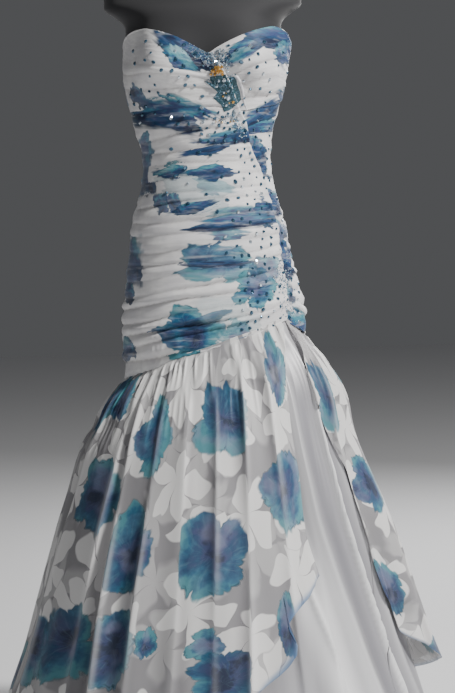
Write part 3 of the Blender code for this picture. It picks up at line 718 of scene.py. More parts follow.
backFolds = (
    (0.04, 0.0014, 0.5, 0.6), (0.09, 0.0018, 0.8, 0.5), (0.15, 0.0016, 0.3, 0.5),
    (0.21, 0.002, 0.6, 0.6), (0.27, 0.0016, 0.9, 0.5), (0.33, 0.002, 0.4, 0.6),
    (0.385, 0.0018, 0.7, 0.5), (0.44, 0.0022, 0.3, 0.6), (0.495, 0.0018, 0.8, 0.5),
    (0.55, 0.0026, 0.5, 0.6), (0.6, 0.0022, 0.2, 0.5), (0.655, 0.0028, 0.7, 0.6),
    (0.71, 0.0026, 0.4, 0.6), (0.765, 0.0032, 0.8, 0.6), (0.82, 0.0028, 0.3, 0.6),
    (0.875, 0.0036, 0.6, 0.6), (0.925, 0.003, 0.4, 0.6), (0.97, 0.0028, 0.6, 0.6),
)
ruching = {
    "gain": 2.05,
    "sink": 0.0012,
    "skew": 1.3,  # above 1, a ridge sags and is steeper below
    "roundness": 0.62,
    "wander": 0.006,
    "pleat": 0.0015,
    "crinkle": 0.0006,
}


def foldsOf(folds, across, down, seed):
    # Rounded ridges between sharp creases that wander and fade: height, painted crease shade and fold
    # number
    shares = [fold[0] for fold in folds]
    middles = [(a + b) / 2 for a, b in zip(shares, shares[1:])]
    valleys, depths = [], []
    for row, share in enumerate([-0.25, *middles, 1.03]):
        room = 1 / len(folds)
        drift = ruching["wander"] * np.sin(5 * across + 3.8 * row) * np.sin(math.pi * across)
        drift = drift + 0.22 * room * softNoise(across * 2.4 + 5 * row, 0 * down, seed + row)
        valleys.append(share + drift)
        depths.append(0.62 + 0.38 * softNoise(across * 3.1 + 11 * row, 0 * down, seed + 70 + row))
    talls = []
    for index, (share, tall, centre, spread) in enumerate(folds):
        strength = 0.3 + 0.7 * bell(across - centre, spread)
        uneven = 1 + 0.4 * softNoise(across * 3 + 9 * index, 0 * down, seed + 30 + index)
        talls.append(ruching["gain"] * tall * strength * uneven)
    height, crease, number = 0 * across, 0 * across, 0 * across
    for index in range(len(folds)):
        inside = (down >= valleys[index]) & (down < valleys[index + 1])
        along = np.clip((down - valleys[index]) / (valleys[index + 1] - valleys[index]), 0, 1)
        profile = np.abs(np.sin(math.pi * along ** ruching["skew"])) ** ruching["roundness"]
        depth = mix(depths[index], depths[index + 1], along)
        before, after = talls[max(index - 1, 0)], talls[min(index + 1, len(folds) - 1)]
        edge = np.where(along < 0.5, (before + talls[index]) / 2, (after + talls[index]) / 2)
        tall = mix(edge, talls[index], 1 - np.abs(2 * along - 1))
        height = np.where(inside, tall * (1 - depth * (1 - profile)), height)
        # painted shade mask, darkest at the bottom of each valley
        crease = np.where(inside, depth * (1 - profile) ** 3, crease)
        number = np.where(inside, float(index), number)
    bend = 0.6 * softNoise(across * 3, down * 9, seed + 31)
    fine = softNoise(across * 2.6 + 4, down * len(folds) * 2.3 + bend, seed + 47)
    close = 0.35 + 0.65 * easeIn(across, 0.55, 1)
    height = height + close * ruching["pleat"] * (1 - np.abs(fine)) ** 2
    finest = softNoise(across * 6 + 2, down * len(folds) * 5.5 + 2 * bend, seed + 59)
    height = height + ruching["crinkle"] * (1 - np.abs(finest)) ** 2
    return height - ruching["sink"], crease, number


def printShift(number, seed):  # gathered cloth hides part of the print in every crease
    aside, shift = (lattice(number, row + 0 * number, seed) - 0.5 for row in (3, 8))
    return 14 * aside, 7 * shift


# The ruched print as seen, in pixels: centre, half width and height, turn, tint, strength
frontBlooms = (
    (216, 262, 44, 22, -4, 0.1, 0.95), (187, 335, 36, 28, -8, 0.05, 1), (257, 289, 28, 25, 10, 0.18, 1),
)
frontBrushes = (
    (190, 49, 38, 15, 33, -0.22, 1), (183, 58, 22, 9, 38, 0.28, 1), (141, 100, 16, 9, 62, -0.05, 0.9),
    (164, 118, 42, 17, 8, -0.16, 1), (186, 107, 26, 9, 22, 0.16, 1), (221, 138, 32, 8, -8, 0.04, 1),
    (206, 152, 30, 5, -10, -0.15, 1), (238, 137, 13, 10, 0, -0.2, 1), (144, 166, 10, 36, -2, 0, 0.9),
    (174, 170, 16, 7, -10, 0.2, 1), (212, 171, 24, 8.5, -6, 0, 1), (197, 190, 40, 25, 0, 0.55, 0.35),
    (163, 202, 8, 12, 0, 0.12, 0.9), (177, 202, 7, 12, -25, -0.02, 0.9), (194, 207, 24, 6, -14, 0.02, 1),
    (216, 186, 24, 9, 14, 0.38, 0.7), (232, 224, 52, 8.5, -6, -0.16, 1), (238, 213, 30, 9, -8, 0.22, 0.9),
    (226, 235, 22, 6.5, 0, 0.22, 0.9), (266, 212, 14, 15, 0, -0.14, 1), (132, 264, 12, 28, 3, -0.02, 0.9),
    (128, 293, 5, 12, 0, 0, 0.9), (232, 333, 16, 13, -20, 0.3, 0.9), (126, 350, 7, 13, -8, 0.1, 0.9),
    (218, 263, 36, 4.5, -2, -0.3, 0.9), (222, 316, 30, 20, 0, 0.6, 0.28), (208, 320, 30, 7, -16, -0.2, 0.9),
    (262, 268, 14, 16, 60, 0.1, 0.8),
)
rightBrushes = (
    (252, 42, 38, 9, -30, 0, 1), (268, 36, 30, 10, 8, -0.05, 1), (284, 52, 9, 15, -15, 0.1, 1),
    (240, 55, 20, 6, -28, 0.2, 0.8), (266, 112, 26, 10, -30, -0.12, 1),
    (260, 127, 28, 8, -4, 0.1, 1), (259, 160, 13, 20, -20, -0.12, 1), (270, 205, 16, 15, 0, -0.12, 1),
    (282, 262, 13, 22, -15, -0.14, 1), (290, 323, 18, 14, 40, 0.06, 1), (276, 232, 9, 14, -25, 0.12, 0.9),
    (286, 292, 11, 15, -25, 0.1, 0.9), (284, 99, 7, 11, -15, -0.1, 0.9), (252, 142, 12, 7, 0, -0.1, 0.9),
)
# The back's print: metres round from the centre back, height, then as above
backBlooms = (
    (-0.04, 1.05, 0.075, 0.04, 5, 0.05, 1), (0.09, 0.9, 0.07, 0.048, -8, 0, 1),
    (-0.12, 0.86, 0.065, 0.045, 10, 0.2, 1), (0.1, 1.17, 0.065, 0.04, 0, 0.1, 1),
)
backBrushes = (
    (-0.1, 1.22, 0.07, 0.028, 10, -0.05, 1), (0.03, 1.21, 0.055, 0.022, -12, 0.1, 1),
    (-0.14, 1.13, 0.06, 0.022, 5, 0.15, 1), (0.03, 1.12, 0.06, 0.012, 4, -0.15, 1),
    (0.14, 1.06, 0.05, 0.018, -6, 0.05, 1), (-0.15, 1.02, 0.05, 0.022, 0, -0.1, 1),
    (0.06, 1, 0.07, 0.014, 3, 0.2, 1), (-0.05, 0.965, 0.06, 0.014, -4, -0.05, 1),
    (0.17, 0.97, 0.05, 0.026, 10, 0.1, 1), (-0.19, 0.94, 0.04, 0.03, 0, -0.1, 1),
    (0.02, 0.83, 0.07, 0.018, -5, -0.1, 1), (0.16, 0.82, 0.05, 0.03, 15, 0.1, 1),
    (-0.17, 0.78, 0.055, 0.026, 0, 0, 1), (-0.05, 0.775, 0.06, 0.02, 6, 0.2, 1),
    (0.07, 0.775, 0.04, 0.018, 0, -0.1, 1), (0.2, 1.22, 0.04, 0.024, 0, -0.1, 1),
    (-0.2, 1.24, 0.04, 0.024, 0, 0.1, 1), (0.225, 1.092, 0.034, 0.062, 0, 0, 0.9),
    (0.225, 0.916, 0.034, 0.05, 0, -0.02, 0.9), (0.225, 0.761, 0.022, 0.024, 0, 0.1, 0.9),
)

drapeShape = {
    "tuck": 0.0024,
    "tucks": 46,
    "tuckFade": (0.62, 0.72),
    "footSmooth": 0.85,
    "level": 0.8,  # 1 would lay every fold level, 0 would share them out from neckline to seam
    "levelLoss": 0.4,
    "jewelDrop": 0.1,
    "tug": 0.0022,
    "tugs": 34,
    "printFade": (0.05, 0.25),
}
# Each print's blooms and strokes, seed, and how far the creases shift the two
prints = {
    "drape": (frontBlooms, frontBrushes, 8, (1, 1), (0.6, 0.5)),
    "cup": (frontBlooms[2:], rightBrushes, 12, (0, 0), (0.3, 0.4)),
    "side": (frontBlooms[2:], rightBrushes, 19, (0, 0), (0.5, 0.6)),
    "back": (backBlooms, backBrushes, 26, (0.0018, 0.0018), (0.001, 0.001)),
}


def printOf(kind, x, y, number, fade=1):
    blooms, brushes, seed, *shifts = prints[kind]
    aside, shift = (0, 0) if number is None else printShift(number, seed)
    made = {}
    layers = ((blooms, "bloom", "AB"), (brushes, "brush", "ABCD"))
    for layer, (wide, tall) in zip(layers, shifts):
        made.update(printChannels(x + wide * (aside * fade), y + tall * shift, *layer))
    return made


def clothSpot(angle, height):
    return np.stack([np.radians(angle) * bodice["clothRadius"], height, 0 * angle], -1)


def ruchedValues(kind, angle, height, out, crease, number, seen=None, fade=1):
    points = bodicePoint(angle, height, out)
    x, y = seenAt(points) if seen is None else seen
    given = {"points": points, "cloth": clothSpot(angle, height), "crease": crease}
    return {**given, **printOf(kind, x, y, number, fade)}


def drapePlace(across, down):
    shape = drapeShape
    gathered = down ** bodice["gatherPull"]
    end = mix(neckAt(seams["vee"]), waistAt(seams["hip"]), gathered)
    last = reading(gatherLine, end) + gapAngle(end, bodice["overlap"])
    angle = mix(-seams["side"], last, across)
    top = neckAt(mix(-seams["side"], seams["vee"], across))
    tucks = shape["tuck"] * np.abs(softNoise(across * shape["tucks"], 0 * across, 61))
    tucks = tucks * (1 - easeIn(across, *shape["tuckFade"]))
    foot = waistAt(mix(-seams["side"], seams["hip"], across)) + bodice["seamGap"] / 2 + tucks
    height = mix(top, foot, mix(down, gathered, across**2))
    smooth = 1 - shape["footSmooth"] * easeIn(down, 0.945, 0.965) * easeIn(across, 0.45, 0.7)
    # the folds run nearly level, and drop towards the jewel at the top
    sideTop, sideFoot = neckAt(-seams["side"]), waistAt(-seams["side"])
    level = (sideTop - height) / (sideTop - sideFoot)
    foldAt = mix(down, level, shape["level"] - shape["levelLoss"] * easeIn(down, 0.55, 1))
    foldAt = foldAt - shape["jewelDrop"] * across * (1 - easeIn(down, 0, 0.38))
    out, crease, number = foldsOf(drapeFolds, across, foldAt, 3)
    tugged = (1 - np.abs(softNoise(across * shape["tugs"], down * 7, 67))) ** 3 * easeIn(down, 0.86, 0.97)
    out = out + shape["tug"] * tugged * (1 - easeIn(across, 0.55, 0.72))
    out = out * smooth * (1 - 0.75 * easeIn(down, 0.987, 1)) * (0.2 + 0.8 * easeIn(across, 0, 0.055))
    out = out + bodice["lap"] * np.maximum(0.75 * easeIn(down, 0.988, 1), easeIn(across, 0.955, 1))
    fade = easeIn(across, *shape["printFade"])
    return ruchedValues("drape", angle, height, out, crease * smooth, number, fade=fade)


# The padded roundness of the right cup as seen, in pixels, and the dent round its rim, which also carries
# painted shade
cupPad = {"x": 265, "y": 79, "wide": 21, "tall": 17, "swell": 0.003, "rim": 0.0012, "rimWide": 0.13}


def cupPlace(across, down):
    end = mix(neckAt(seams["vee"]), reading(underBust, seams["underCup"]), down)
    first = reading(gatherLine, end) + gapAngle(end, bodice["seamGap"])
    angle = mix(first, seams["side"] - gapAngle(1.25, bodice["seamGap"]), across)
    top = neckAt(mix(seams["vee"], seams["side"], across))
    foot = reading(underBust, mix(seams["underCup"], seams["side"], across)) + bodice["seamGap"] / 2
    height = mix(top, foot, down)
    out, crease, number = foldsOf(cupFolds, across, down, 11)
    out = out * easeIn(across, 0.03, 0.12) * (1 - 0.8 * easeIn(across, 0.9, 1))
    right, below = seenAt(bodicePoint(angle, height, out))
    padX, padY = right - cupPad["x"], below - cupPad["y"]
    fromPad = np.hypot(padX / cupPad["wide"], padY / cupPad["tall"])
    # The rim dents the cloth and adds painted shade, on the pad's left and lower side only
    rim = bell(fromPad - 1, cupPad["rimWide"]) * easeIn(padY - 0.9 * padX, -14, 6)
    out = out + cupPad["swell"] * (1 - easeIn(fromPad, 0.3, 1)) - cupPad["rim"] * rim
    return ruchedValues("cup", angle, height, out, np.maximum(crease, 0.55 * rim), number, (right, below))


def sidePlace(across, down):
    end = mix(reading(underBust, seams["underCup"]), waistAt(seams["hip"]), down)
    first = reading(gatherLine, end) + gapAngle(end, bodice["seamGap"])
    angle = mix(first, seams["side"] - gapAngle(end, bodice["seamGap"]), across)
    top = reading(underBust, mix(seams["underCup"], seams["side"], across)) - bodice["seamGap"] / 2
    foot = waistAt(mix(seams["hip"], seams["side"], across)) + bodice["seamGap"] / 2
    height = mix(top, foot, down)
    out, crease, number = foldsOf(sideFolds, across, down, 17)
    out = out * easeIn(across, 0.1, 0.3) * (1 - 0.8 * easeIn(across, 0.8, 1))
    out = out + bodice["lap"] * easeIn(down, 0.988, 1) * easeIn(across, 0.05, 0.2)
    return ruchedValues("side", angle, height, out, crease, number)


def fromBack(angle):  # degrees round from the centre back
    return np.where(angle > 0, angle - 180, angle + 180)


def backPlace(right):
    def place(across, down):
        around = mix(90, 180, across) if right else mix(-180, -90, across)
        height = mix(neckAt(around), waistAt(around) + bodice["seamGap"] / 2, down)
        besideZip = bodice["zipWidth"] / 2 + bodice["seamGap"]
        gap = mix(bodice["seamGap"], besideZip, easeIn(height, bodice["zipEnd"] - 0.004, bodice["zipEnd"]))
        edge = gapAngle(height, gap)
        start, end = 90 + 0 * edge, 180 - edge
        if not right:
            start, end = edge - 180, -90 - gapAngle(height, bodice["seamGap"])
        angle = mix(start, end, across)
        flat = (1 - bell(180 - np.abs(angle), 5)) * (0.2 + 0.8 * easeIn(np.abs(angle), 90, 98))
        out, crease, number = foldsOf(backFolds, across, down, 23 if right else 29)
        out = 1.3 * out * flat + bodice["lap"] * easeIn(down, 0.985, 1)
        cloth = clothSpot(fromBack(angle), height)
        values = ruchedValues("back", angle, height, out, crease * flat, number, (cloth[..., 0], height))
        return {**values, "cloth": cloth}

    return place


bodicePieces = (
    ("bodiceDrape", 120, 300, drapePlace, "front_drape"),
    ("bodiceCup", 64, 84, cupPlace, "cup_right"),
    ("bodiceSide", 36, 230, sidePlace, "side_panel_right"),
    ("bodiceBackRight", 56, 220, backPlace(True), "back_panel_right"),
    ("bodiceBackLeft", 56, 220, backPlace(False), "back_panel_left"),
)
layCloth(bodicePieces, ruched, bodice["clothThick"])
print("stage: bodice")

# Skirts. How far they stand out, by drop below the seam: left, front, right, back
flare = (
    (0, 0, 0, 0, 0), (0.02, 0.018, 0.012, 0.013, 0.012),
    (0.045, 0.038, 0.028, 0.034, 0.028), (0.08, 0.054, 0.05, 0.056, 0.05),
    (0.12, 0.08, 0.072, 0.072, 0.074), (0.16, 0.094, 0.092, 0.079, 0.096),
    (0.2, 0.106, 0.11, 0.091, 0.118), (0.26, 0.126, 0.136, 0.115, 0.148),
    (0.32, 0.142, 0.16, 0.138, 0.176), (0.4, 0.161, 0.19, 0.163, 0.208),
    (0.48, 0.182, 0.217, 0.185, 0.238), (0.56, 0.212, 0.243, 0.208, 0.268),
    (0.64, 0.24, 0.266, 0.236, 0.298), (0.74, 0.27, 0.29, 0.27, 0.33),
)
# The satin's share of that, and the hems: degrees, then metres above the floor
satinShare = (
    (0, 0.8), (0.02, 0.8), (0.05, 0.86), (0.15, 0.85), (0.35, 0.78), (0.56, 0.715), (0.74, 0.72),
)
satinHem = ((-180, 0.024), (-90, 0.024), (0, 0.024), (90, 0.026), (180, 0.024))
# The front panel's free edge: drop, then degrees
frontEdge = (
    (0, 49.5), (0.04, 43), (0.09, 38), (0.16, 35.5), (0.24, 35), (0.33, 33.5),
    (0.408, 36),
)
# The right panel's free edge as seen, in pixels
sideEdgeSeen = (
    (303, 352), (308, 375), (315, 401), (325, 429), (336, 452), (347, 473), (358, 509),
    (371, 553), (377, 573), (385, 594), (396, 620), (405, 645), (411, 660),
)
overskirtHem = (
    (-180, 0.036), (-90, 0.04), (-60, 0.046), (-30, 0.062), (-15, 0.11), (0, 0.165),
    (8, 0.205), (14, 0.255), (18, 0.305), (22, 0.34), (28, 0.362), (36, 0.394),
)
sideHem = (
    (57, 0.279), (66, 0.25), (78, 0.216), (90, 0.189), (102, 0.16), (125, 0.1),
    (150, 0.052), (180, 0.036),
)
# Flutes: degrees at the hem, height, spread, and the share of the degrees that is left at the seam
organzaFlutes = (
    (-168, 0.034, 8, 0.9), (-146, 0.028, 7, 0.9), (-122, 0.036, 8, 0.9),
    (-99, 0.026, 7, 0.9), (-79, 0.024, 6.5, 0.9), (-62, 0.036, 7, 0.88),
    (-45, 0.028, 5.5, 0.88), (-29, 0.034, 6.5, 0.86), (-12, 0.03, 5.5, 0.86),
    (4, 0.034, 6, 0.88), (20, 0.026, 5, 0.95), (34, 0.022, 4.5, 1), (58, 0.02, 5, 0.95),
    (74, 0.026, 6, 0.95), (92, 0.022, 6.5, 0.95), (113, 0.034, 8, 0.95),
    (136, 0.03, 8, 0.9), (160, 0.034, 8, 0.9),
)
satinFlutes = (
    (-156, 0.022, 9, 0.9), (-124, 0.026, 9, 0.9), (-92, 0.022, 9, 0.9),
    (-60, 0.026, 9, 0.9), (-30, 0.024, 8, 0.9), (-2, 0.026, 8, 0.9), (22, 0.02, 6, 0.95),
    (38, 0.022, 5, 1), (61, 0.026, 6, 0.95), (86, 0.022, 8, 0.9), (118, 0.026, 9, 0.9),
    (150, 0.022, 9, 0.9),
)
# Narrow pleats that fall from the gathers: degrees at the seam and at the hem, height, open side
organzaPleats = (
    (15, 7.5, 0.0095, 1), (-12, -14.5, 0.005, -1), (-41, -40, 0.014, 1), (-46, -50, 0.008, -1),
    (37, 34.5, 0.007, -1), (2, -3, 0.006, 1), (-26, -29, 0.009, 1), (27, 22, 0.006, 1),
    (-68, -74, 0.008, 1), (60, 63, 0.007, 1), (74, 80, 0.007, -1), (96, 101, 0.008, 1),
    (112, 118, 0.009, -1), (133, 138, 0.008, 1), (151, 154, 0.009, -1), (172, 174, 0.008, 1),
    (-163, -160, 0.009, -1), (-142, -139, 0.008, 1), (-121, -117, 0.009, -1), (-98, -94, 0.008, 1),
)
satinPleats = (
    (24, 28, 0.009, 1), (36, 40, 0.006, -1), (8, 6, 0.007, 1), (-14, -17, 0.008, -1),
    (-40, -44, 0.008, 1), (-68, -72, 0.008, -1), (-95, -98, 0.008, 1), (-122, -124, 0.008, -1),
    (-148, -150, 0.008, 1), (-172, -174, 0.008, -1), (100, 104, 0.008, 1), (126, 128, 0.008, -1),
    (150, 152, 0.008, 1),
)
# Bands beside the satin's ridge: degrees from it, spread, height, painted shade, painted shine
satinBands = (
    (0, 0.6, 0.013, 0, 1.2), (-2.4, 1.2, -0.002, 0.35, 0), (-7.5, 3.2, -0.007, 1, 0),
    (-13, 1.6, 0.007, 0, 0.3), (-18, 1.8, -0.003, 0.3, 0), (-25, 0.9, 0.007, 0, 0.5),
    (3.5, 2, -0.003, 0.8, 0), (8.6, 0.8, 0.005, 0, 0.35), (12, 3, -0.002, 0.8, 0),
)
# The satin's ridge as seen, in pixels, carried on past the lower edge of the view
ridgeSeen = ((311, 380), (324, 430), (344, 503), (364, 565), (384, 625), (406, 685), (434, 760))
skirt = {
    "seamDrop": -0.006,
    "satinWall": 0.0016,
    "bodiceWall": 0.0022,
    "layerGap": 0.0009,
    "fullDrop": 0.7,
    "rowsAbove": 1.3,  # above 1, the rows of a grid lie closer near the seam
    "satinThick": 0.001,
    "organzaThick": 0.0005,
    "clothRadius": 0.42,
    "printStretch": 1.16,
    "widestBloom": 0.1,
    "tallestBloom": 0.09,
    "gathers": 68,
    "seamTuck": 0.0066,
    "lowTuck": 0.0085,
    "standOff": 0.001,
    "ruffle": 0.003,
    "ripple": 0.001,
    "ridgeSides": (-22, -14, 20, 28),  # degrees from the ridge where the level satin starts and ends
    "levelSatin": (0.3, 0.5),
    "levelHold": 0.8,
    "frontRest": (0.6, 8),  # how firmly a free edge lies on the satin, and for how many degrees
    "sideRest": (0.9, 10),
}


def flareAt(angle, drop):
    turn = np.radians(angle)
    sideways, forward = np.sin(turn), np.cos(turn)
    left, before, right, behind = readings(flare, drop)
    across = np.where(sideways < 0, left, right)
    return across * sideways**2 + np.where(forward > 0, before, behind) * forward**2


def turnFrom(angle, at):
    return (angle - at + 180) % 360 - 180


def fluteHeight(table, angle, share):
    height = 0 * angle
    for at, tall, width, lean in table:
        height = height + tall * bell(turnFrom(angle, at * mix(lean, 1.0, share)), width)
    return height * share * share * (1.6 - 0.6 * share)


def pleatsAt(table, angle, drop):
    # Each pleat is steep on one side and open on the other. Gives its height, the print hidden
    # in it, the painted shade under its steep side and the painted shine along its crest
    tall, lost, shade, shine = 0 * angle, 0 * angle, 0 * angle, 0 * angle
    share = np.clip(drop / 0.6, 0, 1.1)
    for top, foot, height, side in table:
        apart = turnFrom(angle, mix(top, foot, share)) * side
        width = np.where(apart > 0, 4.0, 1.3)
        swell = 0.75 + 0.35 * np.sin(9 * share + 2.1 * top)
        tall = tall + swell * height * np.exp(-np.abs(apart / width) ** 1.5)
        under = easeIn(-apart, -0.1, 0.5) * (1 - easeIn(np.abs(apart), 9, 20))
        lost = lost - 2.6 * side * height * under
        shade = shade + swell * min(1.2, height / 0.01) * bell(apart + 2.4, 1.6)
        shine = shine + swell * min(1.2, height / 0.01) * bell(apart - 0.6, 0.8)
    opened = easeIn(drop, 0.02, 0.14)
    return tall * easeIn(drop, 0.0, 0.1), lost * easeIn(drop, 0.0, 0.2), shade * opened, shine * opened


def skirtPoint(angle, drop, out):
    point, outward = bodySection(angle, waistAt(angle))
    point = point + outward * out[..., None]
    point[..., 2] -= drop
    return point


def hemDrop(hem, angle):
    return waistAt(angle) - reading(hem, angle)


def satinOut(angle, drop, apart=None):
    whole = flareAt(angle, drop)
    room = whole * (1 - reading(satinShare, drop))
    folds = fluteHeight(satinFlutes, angle, np.minimum(1, drop / skirt["fullDrop"]))
    folds = folds + pleatsAt(satinPleats, angle, drop)[0]
    if apart is None:
        apart = angle - reading(satinRidge, drop)
    first, full, last, past = skirt["ridgeSides"]
    beside = easeIn(apart, first, full) * (1 - easeIn(apart, last, past))
    level = mix(*skirt["levelSatin"], easeIn(apart, 3, 12)) * room
    folds = mix(folds, level, skirt["levelHold"] * beside)
    for offset, spread, tall, _, _ in satinBands:
        folds = folds + tall * np.exp(-np.abs((apart - offset) / spread) ** 1.5) * easeIn(drop, 0.0, 0.22)
    folds = np.clip(folds, 0.02 * room, 0.97 * room)
    return whole - room + folds + skirt["satinWall"] - skirt["bodiceWall"]


def nearestSeen(points, right, below):
    x, y = seenAt(points)
    return int(np.argmin((x - right) ** 2 + (y - below) ** 2))


def everyPair(angles, drops):
    return (values.ravel() for values in np.meshgrid(angles, drops))


def rowsFromSeen(first, seen, fromAngle, toAngle, outOf):
    # The drop and angle on the skirt of each point that is seen
    angles, drops = everyPair(np.linspace(fromAngle, toAngle, 401), np.linspace(0.02, 0.76, 371))
    points = skirtPoint(angles, drops, outOf(angles, drops))
    found = [nearestSeen(points, right, below) for right, below in seen]
    return (first, *((float(drops[best]), float(angles[best])) for best in found))


satinRidge = rowsFromSeen(
    (0.0, 46.5), ridgeSeen, 40, 80, lambda angle, drop: satinOut(angle, drop, 0 * angle)
)


def satinShading(angle, drop):
    # Painted shade in the hollows beside the satin's ridge and painted highlight along its crests
    apart = angle - reading(satinRidge, drop)
    dark, shine = 0 * angle, 0 * angle
    for offset, spread, _, shade, glow in satinBands:
        near = bell(apart - offset, spread)
        dark = dark + shade * near
        shine = shine + glow * near
    dark = dark * easeIn(drop, 0.01, 0.1)
    # a painted highlight on a broad band left of the ridge, lower down, weaker under painted shade
    low = 0.8 * easeIn(drop, 0.28, 0.48) * (1 - easeIn(np.abs(apart + 22), 4, 13))
    return dark, np.clip(shine + low * (1 - dark), 0, 1)


def satinPlace(start, end):
    def place(across, down):
        angle = mix(start, end, across)
        drop = mix(skirt["seamDrop"], hemDrop(satinHem, angle), down ** skirt["rowsAbove"])
        # painted shade and painted highlight for the satin's colour
        dark, shine = satinShading(angle, drop)
        x = np.radians(angle) * skirt["clothRadius"]
        return {
            "points": skirtPoint(angle, drop, satinOut(angle, drop)),
            "crease": dark,
            "shine": shine,
            "cloth": np.stack([x, drop, 0 * x], -1),
        }

    return place


satinPieces = (
    ("satinFront", 300, 80, satinPlace(-64.94, 64.94), "underskirt_front"),
    ("satinRight", 220, 80, satinPlace(65.06, 179.94), "underskirt_right"),
    ("satinLeft", 110, 64, satinPlace(-179.94, -65.06), "underskirt_left"),
)
layCloth(satinPieces, satin, skirt["satinThick"])
print("stage: satin")


def gatherHeight(angle, drop):
    # Uneven tucks at the seam that open into fewer, softer ones
    below = np.maximum(drop, 0)
    at = angle * skirt["gathers"] / 360
    fine = 1 - np.abs(softNoise(at * 1.7, below * 9, 5))
    wide = softNoise(at * 0.8 + 40, below * 5, 6)
    seamTucks = skirt["seamTuck"] * easeIn(below, 0, 0.008) * np.clip(1 - below / 0.15, 0, 1)
    lowTucks = skirt["lowTuck"] * easeIn(below, 0, 0.06) * np.clip(1 - below / 0.5, 0.22, 1)
    return seamTucks * fine**2 + lowTucks * (0.5 + 0.5 * wide)


def organzaOut(angle, drop):
    folds = fluteHeight(organzaFlutes, angle, np.minimum(1, drop / skirt["fullDrop"]))
    folds = folds + pleatsAt(organzaPleats, angle, drop)[0]
    first = skirt["satinWall"] - skirt["bodiceWall"] + skirt["layerGap"] + skirt["standOff"]
    return first + flareAt(angle, drop) + folds + gatherHeight(angle, drop)


def settled(angle, drop, edge, strength, reach):
    # Near its free edge the organza rests on the satin, less the further from it
    out = organzaOut(angle, drop) + skirt["organzaThick"]
    away = np.abs(angle - edge)
    near = strength * (1 - easeIn(away, 0.0, reach)) * easeIn(drop, 0.02, 0.09)
    ruffle = skirt["ruffle"] + skirt["ripple"] * np.sin(60 * drop) * bell(away, 4)
    return mix(out, np.minimum(out, satinOut(angle, drop) + ruffle), near)


sideEdge = rowsFromSeen(
    (0.0, 52.5), sideEdgeSeen, 20, 89, lambda angle, drop: settled(angle, drop, angle, *skirt["sideRest"])
)


def clothPlaceOf(angle, drop):
    return np.radians(angle) * skirt["clothRadius"], drop * skirt["printStretch"]


def printPoint(angle, drop, onSide=False):
    # Where the print lies: on the right panel, or on the front one
    out = flareAt(angle, drop) + 0.01
    if onSide:
        edge = reading(sideEdge, drop)
        out = np.where(angle > edge, settled(angle, drop, edge, *skirt["sideRest"]), 9)
    return skirtPoint(angle, drop, out)


def bloomOnSkirt(right, below, halfWide, halfTall, turn, tone, onSide=False):
    # Finds the cloth place and size of a bloom from where it is seen
    angles, drops = everyPair(np.linspace(-88, 88, 177), np.linspace(0, 0.72, 145))
    best = nearestSeen(printPoint(angles, drops, onSide), right, below)
    angle, drop = angles[best], drops[best]
    x, y = seenAt(printPoint(angle + np.array([0, 1, 0]), drop + np.array([0, 0, 0.01]), onSide))
    perAngle = abs(x[1] - x[0]) / (math.radians(1) * skirt["clothRadius"])
    perDrop = abs(y[2] - y[0]) / (0.01 * skirt["printStretch"])
    centre = clothPlaceOf(angle, drop)
    wide = min(skirt["widestBloom"], halfWide / perAngle)
    tall = min(skirt["tallestBloom"], halfTall / perDrop)
    lost = float(pleatsAt(organzaPleats, np.array([angle]), np.array([drop]))[1][0])
    return float(centre[0]) + lost, float(centre[1]), wide, tall, turn, tone, 1


# Blue blooms of the overskirt as seen, in pixels: centre, half width and height, turn, tint
skirtBloomsSeen = (
    (226, 420, 29, 44, 10, 0.02), (157, 438, 21, 44, 0, 0.05), (104, 497, 32, 44, 20, -0.02),
    (130, 552, 28, 48, -15, 0), (212, 556, 39, 50, 5, -0.03), (284, 495, 30, 44, 0, 0.05),
    (277, 370, 13, 40, 10, 0), (75, 645, 30, 46, 0, 0), (115, 650, 27, 42, 25, -0.05),
    (148, 642, 12, 20, 0, 0.1), (210, 645, 18, 20, 0, 0.1), (226, 680, 34, 34, 0, -0.15),
    (40, 650, 15, 38, 0, -0.05), (122, 400, 10, 30, -20, -0.1), (106, 408, 11, 28, -30, -0.05),
    (292, 626, 15, 40, 0, -0.12),
)
sideBloomsSeen = (
    (330, 398, 18, 42, -10, 0.02), (370, 485, 13, 30, -25, -0.15), (390, 589, 15, 40, -26, -0.08),
    (434, 654, 18, 15, 0, -0.15),
)
skirtBlooms = [bloomOnSkirt(*seen) for seen in skirtBloomsSeen]
sideBlooms = [bloomOnSkirt(*seen, onSide=True) for seen in sideBloomsSeen]
backPrint = {
    "columns": 10,
    "rows": 5,
    "radius": 0.066,
    "firstAngle": -262,
    "width": 168,
    "sway": 5,
    "firstDrop": 0.06,
    "dropStep": 0.165,
    "wander": 0.03,
}


def hiddenBlooms():
    # The back repeats the print in staggered rows, one bloom to a cell
    made = []
    for row in range(backPrint["rows"]):
        for column in range(backPrint["columns"]):
            share = (column + 0.5 * (row % 2) + 0.25) / backPrint["columns"]
            angle = backPrint["firstAngle"] + backPrint["width"] * share
            angle += backPrint["sway"] * math.sin(3.1 * column + 1.7 * row)
            drop = backPrint["firstDrop"] + backPrint["dropStep"] * row
            drop += backPrint["wander"] * math.sin(2.3 * column + row)
            x, y = clothPlaceOf(angle, drop)
            size = backPrint["radius"] * (0.85 + 0.2 * math.sin(1.9 * column + 2.7 * row))
            turn, tone = 40 * math.sin(5 * column + row), 0.1 * math.sin(4 * column + 3 * row)
            made.append((float(x), float(y), size, size * 0.92, turn, tone, 1))
    return made


